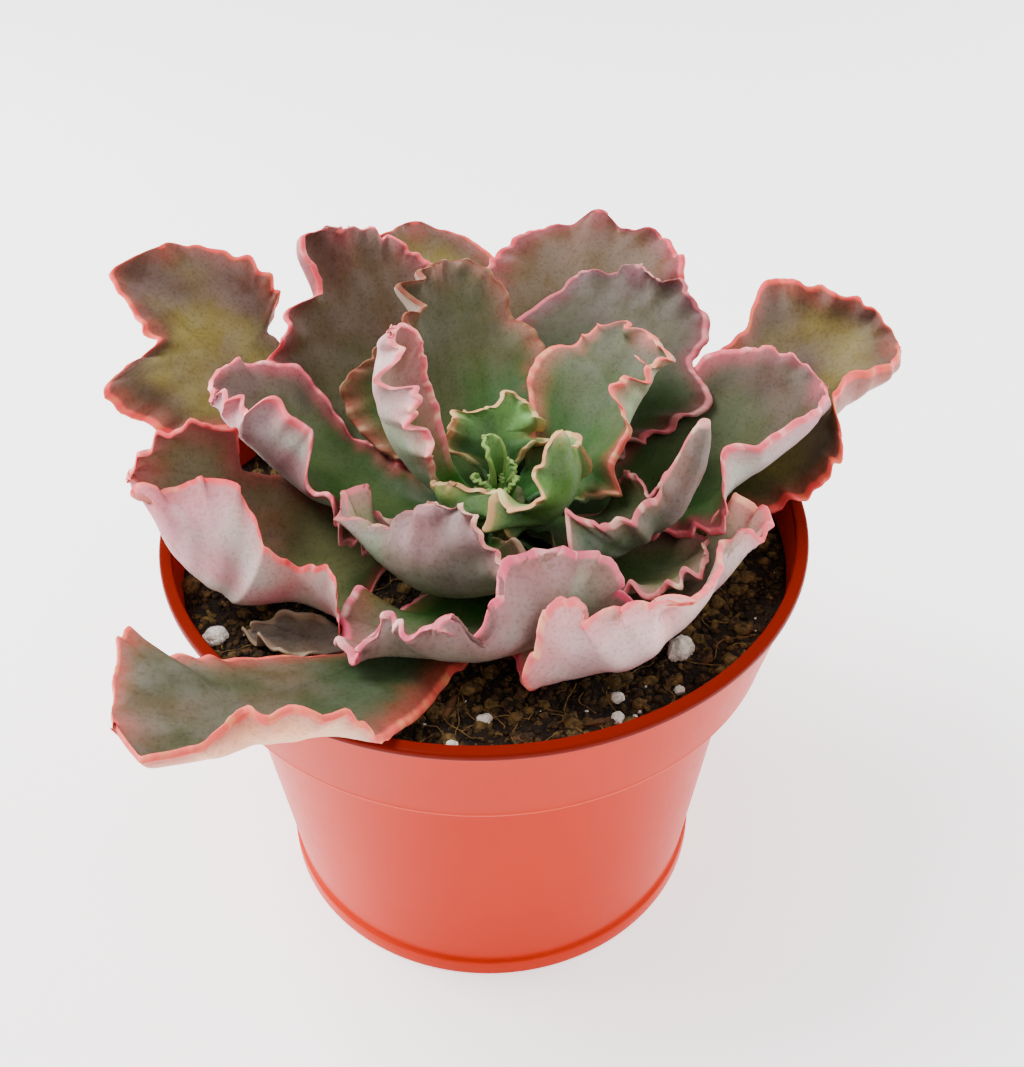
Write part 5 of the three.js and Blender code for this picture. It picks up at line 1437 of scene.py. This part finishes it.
@dataclass(frozen=True)
class Scatter:
    """One kind of bit that lies all over the soil.

    Attributes:
        name: The piece's name.
        finish: Its finish.
        slot: Its material slot.
        grain: Whether it is a rounded grain or a flat chip.
        density: How many lie on a square metre.
        smallest: The smallest size, in millimetres.
        largest: The largest size, in millimetres.
        squash: Its height as a share of its width.
        rough: How uneven it is, in millimetres.
        fine: Subdivisions of a rounded grain.
        seed: The seed of its places and sizes.
    """

    name: str
    finish: Grit
    slot: str
    grain: Grain
    density: float
    smallest: float
    largest: float
    squash: float
    rough: float
    fine: int
    seed: int

    def tree(self) -> bpy.types.NodeTree:
        """Builds the scattering tree."""
        tree, given, result = new_tree(f"scatter_{self.name}", {
            "Density": ("NodeSocketFloat", 1000.0), "Smallest": ("NodeSocketFloat", 0.001),
            "Largest": ("NodeSocketFloat", 0.002), "Squash": ("NodeSocketFloat", 0.7),
            "Rough": ("NodeSocketFloat", 0.0002), "Seed": ("NodeSocketInt", 1),
        })
        read = given.outputs
        spread = add(tree, "GeometryNodeDistributePointsOnFaces",
                     {"Mesh": read["Geometry"], "Density": read["Density"],
                     "Seed": read["Seed"]}).outputs
        if self.grain is Grain.ROUND:
            shape = add(tree, "GeometryNodeMeshIcoSphere",
                        {"Radius": 0.5, "Subdivisions": self.fine}).outputs[0]
        else:
            shape = add(tree, "GeometryNodeMeshCube",
                        {"Size": (1.0, 0.42, 0.24), "Vertices X": 4, "Vertices Y": 3,
                        "Vertices Z": 2}).outputs[0]
        share = add(tree, "FunctionNodeRandomValue", {"Seed": read["Seed"]}, data_type="FLOAT").outputs[1]
        share = add(tree, "ShaderNodeMath", {0: share, 1: 2.6}, operation="POWER").outputs[0]
        size = add(tree, "ShaderNodeMapRange", {"Value": share, "To Min": read["Smallest"],
                   "To Max": read["Largest"]}).outputs[0]
        uneven = add(tree, "FunctionNodeRandomValue",
                     {0: (0.7, 0.7, 0.7), 1: (1.3, 1.1, 1.0), "Seed": read["Seed"]},
                     data_type="FLOAT_VECTOR").outputs[0]
        scale = add(tree, "ShaderNodeVectorMath", {0: uneven, "Scale": size}, operation="SCALE").outputs[0]
        flat = add(tree, "ShaderNodeCombineXYZ", {"X": 1.0, "Y": 1.0, "Z": read["Squash"]}).outputs[0]
        scale = add(tree, "ShaderNodeVectorMath", {0: scale, 1: flat}, operation="MULTIPLY").outputs[0]
        turn = add(tree, "FunctionNodeRandomValue", {0: (-0.5, -0.5, 0.0), 1: (0.5, 0.5, math.tau),
                   "Seed": read["Seed"]}, data_type="FLOAT_VECTOR").outputs[0]
        bits = add(tree, "GeometryNodeInstanceOnPoints", {"Points": spread["Points"], "Instance": shape,
                   "Rotation": turn, "Scale": scale}).outputs[0]
        bits = add(tree, "GeometryNodeRealizeInstances", {0: bits}).outputs[0]
        place = add(tree, "GeometryNodeInputPosition").outputs[0]
        lumps = add(tree, "ShaderNodeTexNoise",
                    {"Vector": place, "Scale": 700.0, "Detail": 2.0}).outputs["Color"]
        push = add(tree, "ShaderNodeVectorMath", {0: lumps, 1: (0.5, 0.5, 0.5)},
                   operation="SUBTRACT").outputs[0]
        push = add(tree, "ShaderNodeVectorMath", {0: push, "Scale": read["Rough"]},
                   operation="SCALE").outputs[0]
        push = add(tree, "ShaderNodeVectorMath", {0: push, "Scale": 4.0}, operation="SCALE").outputs[0]
        bits = add(tree, "GeometryNodeSetPosition", {"Geometry": bits, "Offset": push}).outputs[0]
        bits = add(tree, "GeometryNodeSetShadeSmooth", {"Geometry": bits}).outputs[0]
        bits = add(tree, "GeometryNodeSetMaterial",
                   {"Geometry": bits, "Material": self.finish.material()}).outputs[0]
        tree.links.new(bits, result.inputs[0])
        return tree

    def build(self, bed: SoilBed) -> bpy.types.Object:
        """Scatters the bits over the soil.

        Args:
            bed: The soil that they lie on.

        Returns:
            All bits as one piece.
        """
        piece = bed.carrier(self.name)
        apply_tree(piece, self.tree(), {
            "Density": self.density, "Smallest": self.smallest * MM, "Largest": self.largest * MM,
            "Squash": self.squash, "Rough": self.rough * MM, "Seed": self.seed,
        })
        return piece


SCATTERS = (
    Scatter("soil_crumbs", CRUMB, "soil", Grain.ROUND, 460000, 0.8, 2.6, 0.75, 0.35, 1, 3),
    Scatter("soil_lumps", LUMP, "soil", Grain.ROUND, 52000, 1.8, 5.6, 0.6, 0.6, 2, 8),
    Scatter("bark_chips", BARK, "soil", Grain.CHIP, 9000, 2.0, 6.0, 0.9, 0.5, 1, 14),
    Scatter("perlite_specks", PERLITE, "perlite", Grain.ROUND, 9000, 0.5, 1.7, 0.8, 0.2, 1, 21),
)


@dataclass
class CoirFibres:
    """Fine golden-brown fibres that lie bent across the soil."""

    density: float = 12000.0
    shortest: float = 4.0
    longest: float = 15.0
    thickness: float = 0.26
    seed: int = 5

    def tree(self) -> bpy.types.NodeTree:
        """Builds the tree that lays the fibres."""
        tree, given, result = new_tree("lay_fibres", {
            "Density": ("NodeSocketFloat", 1000.0), "Shortest": ("NodeSocketFloat", 0.005),
            "Longest": ("NodeSocketFloat", 0.02), "Thickness": ("NodeSocketFloat", 0.0003),
            "Seed": ("NodeSocketInt", 1),
        })
        read = given.outputs
        spread = add(tree, "GeometryNodeDistributePointsOnFaces",
                     {"Mesh": read["Geometry"], "Density": read["Density"],
                     "Seed": read["Seed"]}).outputs
        strand = add(tree, "GeometryNodeCurveQuadraticBezier", {"Resolution": 12, "Start": (-0.5, 0.0, 0.0),
                     "Middle": (0.05, 0.22, 0.0), "End": (0.5, -0.05, 0.0)}).outputs[0]
        share = add(tree, "FunctionNodeRandomValue", {"Seed": read["Seed"]}, data_type="FLOAT").outputs[1]
        size = add(tree, "ShaderNodeMapRange", {"Value": share, "To Min": read["Shortest"],
                   "To Max": read["Longest"]}).outputs[0]
        turn = add(tree, "FunctionNodeRandomValue", {0: (0.0, 0.0, 0.0), 1: (0.0, 0.0, math.tau),
                   "Seed": read["Seed"]}, data_type="FLOAT_VECTOR").outputs[0]
        strands = add(tree, "GeometryNodeInstanceOnPoints", {"Points": spread["Points"], "Instance": strand,
                      "Rotation": turn, "Scale": size}).outputs[0]
        strands = add(tree, "GeometryNodeRealizeInstances", {0: strands}).outputs[0]
        place = add(tree, "GeometryNodeInputPosition").outputs[0]
        sway = add(tree, "ShaderNodeTexNoise",
                   {"Vector": place, "Scale": 110.0, "Detail": 1.0}).outputs["Color"]
        sway = add(tree, "ShaderNodeVectorMath", {0: sway, 1: (0.5, 0.5, 0.5)},
                   operation="SUBTRACT").outputs[0]
        sway = add(tree, "ShaderNodeVectorMath", {0: sway, 1: (9 * MM, 9 * MM, 0.0)},
                   operation="MULTIPLY").outputs[0]
        strands = add(tree, "GeometryNodeSetPosition", {"Geometry": strands, "Offset": sway}).outputs[0]
        above = add(tree, "ShaderNodeVectorMath", {0: place, 1: (0.0, 0.0, 20 * MM)},
                    operation="ADD").outputs[0]
        drop = add(tree, "GeometryNodeRaycast",
                   {"Target Geometry": read["Geometry"], "Source Position": above,
                   "Ray Direction": (0.0, 0.0, -1.0), "Ray Length": 0.1}).outputs
        lie = add(tree, "ShaderNodeVectorMath", {0: drop["Hit Position"], 1: (0.0, 0.0, 0.55 * MM)},
                  operation="ADD")
        missed = add(tree, "FunctionNodeBooleanMath", {0: drop["Is Hit"]}, operation="NOT").outputs[0]
        strands = add(tree, "GeometryNodeDeleteGeometry",
                      {"Geometry": strands, "Selection": missed}).outputs[0]
        strands = add(tree, "GeometryNodeSetPosition",
                      {"Geometry": strands, "Position": lie.outputs[0]}).outputs[0]
        ring = add(tree, "GeometryNodeCurvePrimitiveCircle", {"Resolution": 5,
                   "Radius": read["Thickness"]}).outputs[0]
        tubes = add(tree, "GeometryNodeCurveToMesh", {"Curve": strands, "Profile Curve": ring,
                    "Fill Caps": True}).outputs[0]
        tubes = add(tree, "GeometryNodeRealizeInstances", {0: tubes}).outputs[0]
        tubes = add(tree, "GeometryNodeSetShadeSmooth", {"Geometry": tubes}).outputs[0]
        tubes = add(tree, "GeometryNodeSetMaterial",
                    {"Geometry": tubes, "Material": FIBRE.material()}).outputs[0]
        tree.links.new(tubes, result.inputs[0])
        return tree

    def build(self, bed: SoilBed) -> bpy.types.Object:
        """Lays the fibres on the soil.

        Args:
            bed: The soil that they lie on.

        Returns:
            All fibres as one piece.
        """
        piece = bed.carrier("coir_fibres", 22.0)
        apply_tree(piece, self.tree(), {
            "Density": self.density, "Shortest": self.shortest * MM, "Longest": self.longest * MM,
            "Thickness": self.thickness / 2 * MM, "Seed": self.seed,
        })
        return piece


@dataclass(frozen=True)
class PerliteGrain:
    """A white puffed grain, half sunk in the soil, in millimetres from the pot's axis."""

    number: int
    x: float
    y: float
    size: float
    slimness: float
    turn: float

    def build(self, bed: SoilBed, material: bpy.types.Material) -> bpy.types.Object:
        """Makes the grain.

        Args:
            bed: The soil that it sits in.
            material: Its finish.

        Returns:
            The grain.
        """
        shape = bmesh.new()
        bmesh.ops.create_icosphere(shape, subdivisions=4, radius=0.5)
        turn = math.radians(self.turn)
        height = bed.level(self.x, self.y) + self.size * 0.1
        for vertex in shape.verts:
            spot = vertex.co.copy()
            seeded = spot * 3.1 + Vector((self.number * 7.3, 0, 0))
            swell = (1 + 0.22 * noise.noise(seeded) + 0.1 * noise.noise(seeded * 2.7)
                     + 0.05 * noise.noise(seeded * 6.5))
            pit = noise.noise(seeded * 4.3)
            swell -= 0.12 * max(0.0, pit - 0.22)
            spot = spot * self.size * swell
            x, y = spot.x, spot.y * self.slimness
            vertex.co = (x * math.cos(turn) - y * math.sin(turn) + self.x + AXIS_X,
                         x * math.sin(turn) + y * math.cos(turn) + self.y + AXIS_Y, spot.z * 0.75 + height)
            vertex.co *= MM
        mesh = bpy.data.meshes.new(f"perlite_grain_{self.number}")
        shape.to_mesh(mesh)
        shape.free()
        mesh.materials.append(material)
        mesh.polygons.foreach_set("use_smooth", [True] * len(mesh.polygons))
        piece = bpy.data.objects.new(mesh.name, mesh)
        bpy.context.scene.collection.objects.link(piece)
        return piece


GRAINS = (
    PerliteGrain(1, 42.5, -38, 7, 0.8, 60),
    PerliteGrain(2, -61, -30, 5.6, 0.9, 20),
    PerliteGrain(3, -1, -57, 3.4, 0.9, 0),
    PerliteGrain(4, -8, -63.5, 3, 0.8, 40),
    PerliteGrain(5, 27.5, -51.5, 3, 0.9, 10),
    PerliteGrain(6, 27, -57.5, 3.2, 0.85, 80),
    PerliteGrain(7, 41, -49.5, 2.6, 0.9, 30),
)


@dataclass
class Stem:
    """The short corky stem with the scars of shed leaves."""

    x: float = 3.0
    radius: float = 6.8
    foot: float = 72.0
    top: float = 112.4
    sides: int = 72
    rings: int = 90

    def build(self, material: bpy.types.Material) -> bpy.types.Object:
        """Makes the stem.

        Args:
            material: Its finish.

        Returns:
            The stem, with rows of hollows like the scars of shed leaves.
        """
        heights = np.linspace(self.foot, self.top, self.rings)
        angles = np.linspace(0, math.tau, self.sides, endpoint=False)
        points = []
        for z in heights:
            for angle in angles:
                scar = math.sin(5 * angle + z * 0.9) * math.sin(z * 1.9 + 2 * angle)
                grit = noise.noise(Vector((math.cos(angle) * 3, math.sin(angle) * 3, z / 1.6)))
                radius = self.radius - 0.25 + 0.16 * scar + 0.14 * grit
                points.append((self.x + radius * math.cos(angle), radius * math.sin(angle), z))
        points += [(self.x, 0, self.foot), (self.x, 0, self.top)]
        around = np.arange(self.sides)
        following = np.roll(around, -1)
        faces = []
        for ring in range(self.rings - 1):
            a, b = ring * self.sides, (ring + 1) * self.sides
            faces += np.stack([a + around, a + following, b + following, b + around], -1).tolist()
        low, high = len(points) - 2, len(points) - 1
        last = (self.rings - 1) * self.sides
        faces += np.stack([following, around, np.full(self.sides, low)], -1).tolist()
        faces += np.stack([last + around, last + following, np.full(self.sides, high)], -1).tolist()
        piece = new_piece("corky_stem", (np.array(points) + [AXIS_X, AXIS_Y, 0]) * MM, faces, material)
        face_outwards(piece)
        return piece


@dataclass(frozen=True)
class Sprout:
    """One of the youngest leaves, barely grown, in millimetres and degrees."""

    azimuth: float
    out: float
    height: float
    length: float
    rise: tuple[float, float, float]
    width: float
    fold: float


@dataclass
class Heart:
    """The youngest leaves round the growing point, deep in the cup."""

    foot: float = 112.8
    core_foot: float = 4.6
    core_top: float = 1.6
    core_height: float = 3.4
    sprouts: tuple[Sprout, ...] = (
        Sprout(150, 0.6, 113.6, 15.5, (86, 84, 60), 3.7, 52),
        Sprout(205, 3.0, 113.0, 7.5, (66, 70, 56), 2.4, 45),
        Sprout(338, 2.8, 113.2, 6.0, (60, 66, 72), 2.4, 45),
        Sprout(62, 2.6, 113.4, 7.0, (56, 62, 70), 3.0, 38),
        Sprout(270, 2.4, 113.0, 6.0, (48, 58, 70), 2.8, 42),
        Sprout(110, 1.2, 114.2, 4.5, (80, 84, 88), 1.5, 50),
        Sprout(20, 1.0, 114.4, 4.0, (80, 84, 88), 1.4, 50),
    )

    def leaf(self, place: int) -> Leaf:
        """Returns the form of one small leaf.

        Args:
            place: Its place in sprouts.

        Returns:
            The form.
        """
        sprout = self.sprouts[place]
        wave = 0.35 if place % 2 == 0 else -0.35
        half = Half(sprout.width, (sprout.fold, sprout.fold - 8, sprout.fold - 20), (0, 0),
                    (0, wave, -wave, wave, -wave, 0), (0,))
        return Leaf(
            f"heart_{place}", BUD, "young_leaf", azimuth=sprout.azimuth, seat=sprout.azimuth,
            height=sprout.height, length=sprout.length, rise=sprout.rise, bend=0, twist=0, widest=0.68,
            left=half, right=half, fullness=0.8, bluntness=2, foot_width=1.3, seat_radius=sprout.out,
            thickness=(1.4, 0.9), edge=0.7, frill=0.3, grid=(40, 20), crinkle=0.1)

    def build(self) -> bpy.types.Object:
        """Makes the heart as one piece.

        Returns:
            The small leaves and the core that they stand on.
        """
        material = BUD.material(77)
        parts = [Blade(self.leaf(place), 500 + place).build(material) for place in range(len(self.sprouts))]
        shape = bmesh.new()
        bmesh.ops.create_cone(shape, cap_ends=True, segments=32, radius1=self.core_foot * MM,
                              radius2=self.core_top * MM, depth=self.core_height * MM)
        middle = Vector((3.0 + AXIS_X, AXIS_Y, self.foot + self.core_height / 2)) * MM
        bmesh.ops.translate(shape, verts=shape.verts, vec=middle)
        mesh = bpy.data.meshes.new("heart_core")
        shape.to_mesh(mesh)
        shape.free()
        mesh.materials.append(material)
        core = bpy.data.objects.new("heart_core", mesh)
        bpy.context.scene.collection.objects.link(core)
        with bpy.context.temp_override(active_object=parts[0], selected_editable_objects=[*parts, core]):
            bpy.ops.object.join()
        parts[0].name = "fine_heart"
        return parts[0]


DRIED_LEAF = Leaf(
    "dried_leaf", WITHERED, "dried_leaf", azimuth=166, seat=166, height=98.6, length=24, rise=(2, -2, 10),
    bend=14, twist=10, widest=0.5, fullness=0.6, bluntness=1.6, foot_width=2.2, start=(-31, -34.5),
    thickness=(1, 0.8), edge=0.6, frill=0.9, grid=(90, 50), crinkle=0.9,
    left=Half(6.5, (10, 4, 20), (10, 20), (0, 1, -0.4, 1.6, 0, 1.4, -0.2, 1.2), (0, 1, -1, 1, 0, 1)),
    right=Half(7, (20, 10, 20), (50, 60), (0, 1, 2, 1, 2.4, 1, 2, 1), (0, -1, 1, -1, 1, 0)),
)


@dataclass
class Studio:
    """The camera at the photograph's angle, a pale floor and soft light."""

    eye: tuple[float, float, float] = (0.0, -258.1, 316.9)
    yaw: float = 1.44
    dip: float = 39.91
    roll: float = -0.52
    lens: float = 47.235

    def camera(self) -> None:
        """Stands the camera where the photograph was taken."""
        yaw, dip, roll = (math.radians(value) for value in (self.yaw, self.dip, self.roll))
        ahead = Vector((math.sin(yaw) * math.cos(dip), math.cos(yaw) * math.cos(dip), -math.sin(dip)))
        right = Vector((math.cos(yaw), -math.sin(yaw), 0))
        up = right.cross(ahead)
        across = math.cos(roll) * right + math.sin(roll) * up
        upright = -math.sin(roll) * right + math.cos(roll) * up
        data = bpy.data.cameras.new("camera")
        data.lens = self.lens
        data.sensor_width = 36
        camera = bpy.data.objects.new("camera", data)
        place = (Vector(self.eye) + Vector((AXIS_X, AXIS_Y, 0))) * MM
        turn = Matrix((across, upright, -ahead)).transposed().to_4x4()
        camera.matrix_world = Matrix.Translation(place) @ turn
        bpy.context.scene.collection.objects.link(camera)
        bpy.context.scene.camera = camera

    def floor(self) -> None:
        """Lays a plain pale floor under the pot."""
        material, tree, shader = new_material("pale_table")
        place = add(tree, "ShaderNodeTexCoord").outputs["Object"]
        tone = add(tree, "ShaderNodeTexNoise", {"Vector": place, "Scale": 3.0}).outputs["Fac"]
        colour = add(tree, "ShaderNodeMix", {"Factor": tone, 6: "#f9f8f6", 7: "#fcfbfa"},
                     data_type="RGBA").outputs[2]
        fill(tree, shader, {"Base Color": colour, "Roughness": 0.7, "Emission Color": (1.0, 0.99, 0.98, 1.0),
             "Emission Strength": 1.1})
        corners = np.array([(-4, -4, 0), (4, -4, 0), (4, 4, 0), (-4, 4, 0)], float)
        new_piece("floor", corners, [(0, 1, 2, 3)], material)

    def light(self, name: str, place: tuple[float, float, float], size: float, power: float) -> None:
        """Hangs one soft square light that looks at the plant.

        Args:
            name: The light's name.
            place: Where it hangs, in metres.
            size: Its side, in metres.
            power: Its power in watts.
        """
        data = bpy.data.lights.new(name, "AREA")
        data.size = size
        data.energy = power
        lamp = bpy.data.objects.new(name, data)
        lamp.location = place
        lamp.rotation_euler = (Vector((0, 0, 0.09)) - Vector(place)).to_track_quat("-Z", "Y").to_euler()
        bpy.context.scene.collection.objects.link(lamp)

    def build(self) -> None:
        """Sets up camera, floor and light."""
        self.camera()
        self.floor()
        world = bpy.data.worlds.new("white_room")
        world.use_nodes = True
        world.node_tree.nodes["Background"].inputs["Color"].default_value = (1.0, 1.0, 1.0, 1.0)
        world.node_tree.nodes["Background"].inputs["Strength"].default_value = 1.0
        bpy.context.scene.world = world
        self.light("key", (-0.45, 0.15, 0.95), 0.5, 15.0)
        self.light("fill", (0.7, -0.5, 0.7), 0.9, 4.0)
        self.light("left_glow", (-0.95, 0.3, 0.2), 0.7, 30.0)
        self.light("right_glow", (0.95, 0.4, 0.2), 0.7, 20.0)


def main() -> None:
    """Builds the plant around the frame, piece by piece."""
    logging.basicConfig(level=logging.INFO, format="%(name)s: %(message)s")
    Studio().build()
    pot = NurseryPot()
    settle(pot.build(), "plastic", "pot")
    bed = SoilBed(pot)
    settle(bed.bed(PEAT.material()), "soil", "soil")
    for kind in SCATTERS:
        settle(kind.build(bed), kind.slot)
    settle(CoirFibres().build(bed), "soil")
    perlite = PERLITE.material()
    for grain in GRAINS:
        settle(grain.build(bed, perlite), "perlite", f"perlite_{grain.number}")
    settle(Stem().build(CORK.material()), "stem", "stem")
    for number, leaf in enumerate((*LEAVES, DRIED_LEAF)):
        settle(Blade(leaf, 100 + number).build(leaf.finish.material(number)), leaf.slot, leaf.name)
    settle(Heart().build(), "young_leaf", "heart")


if __name__ == "__main__":
    main()
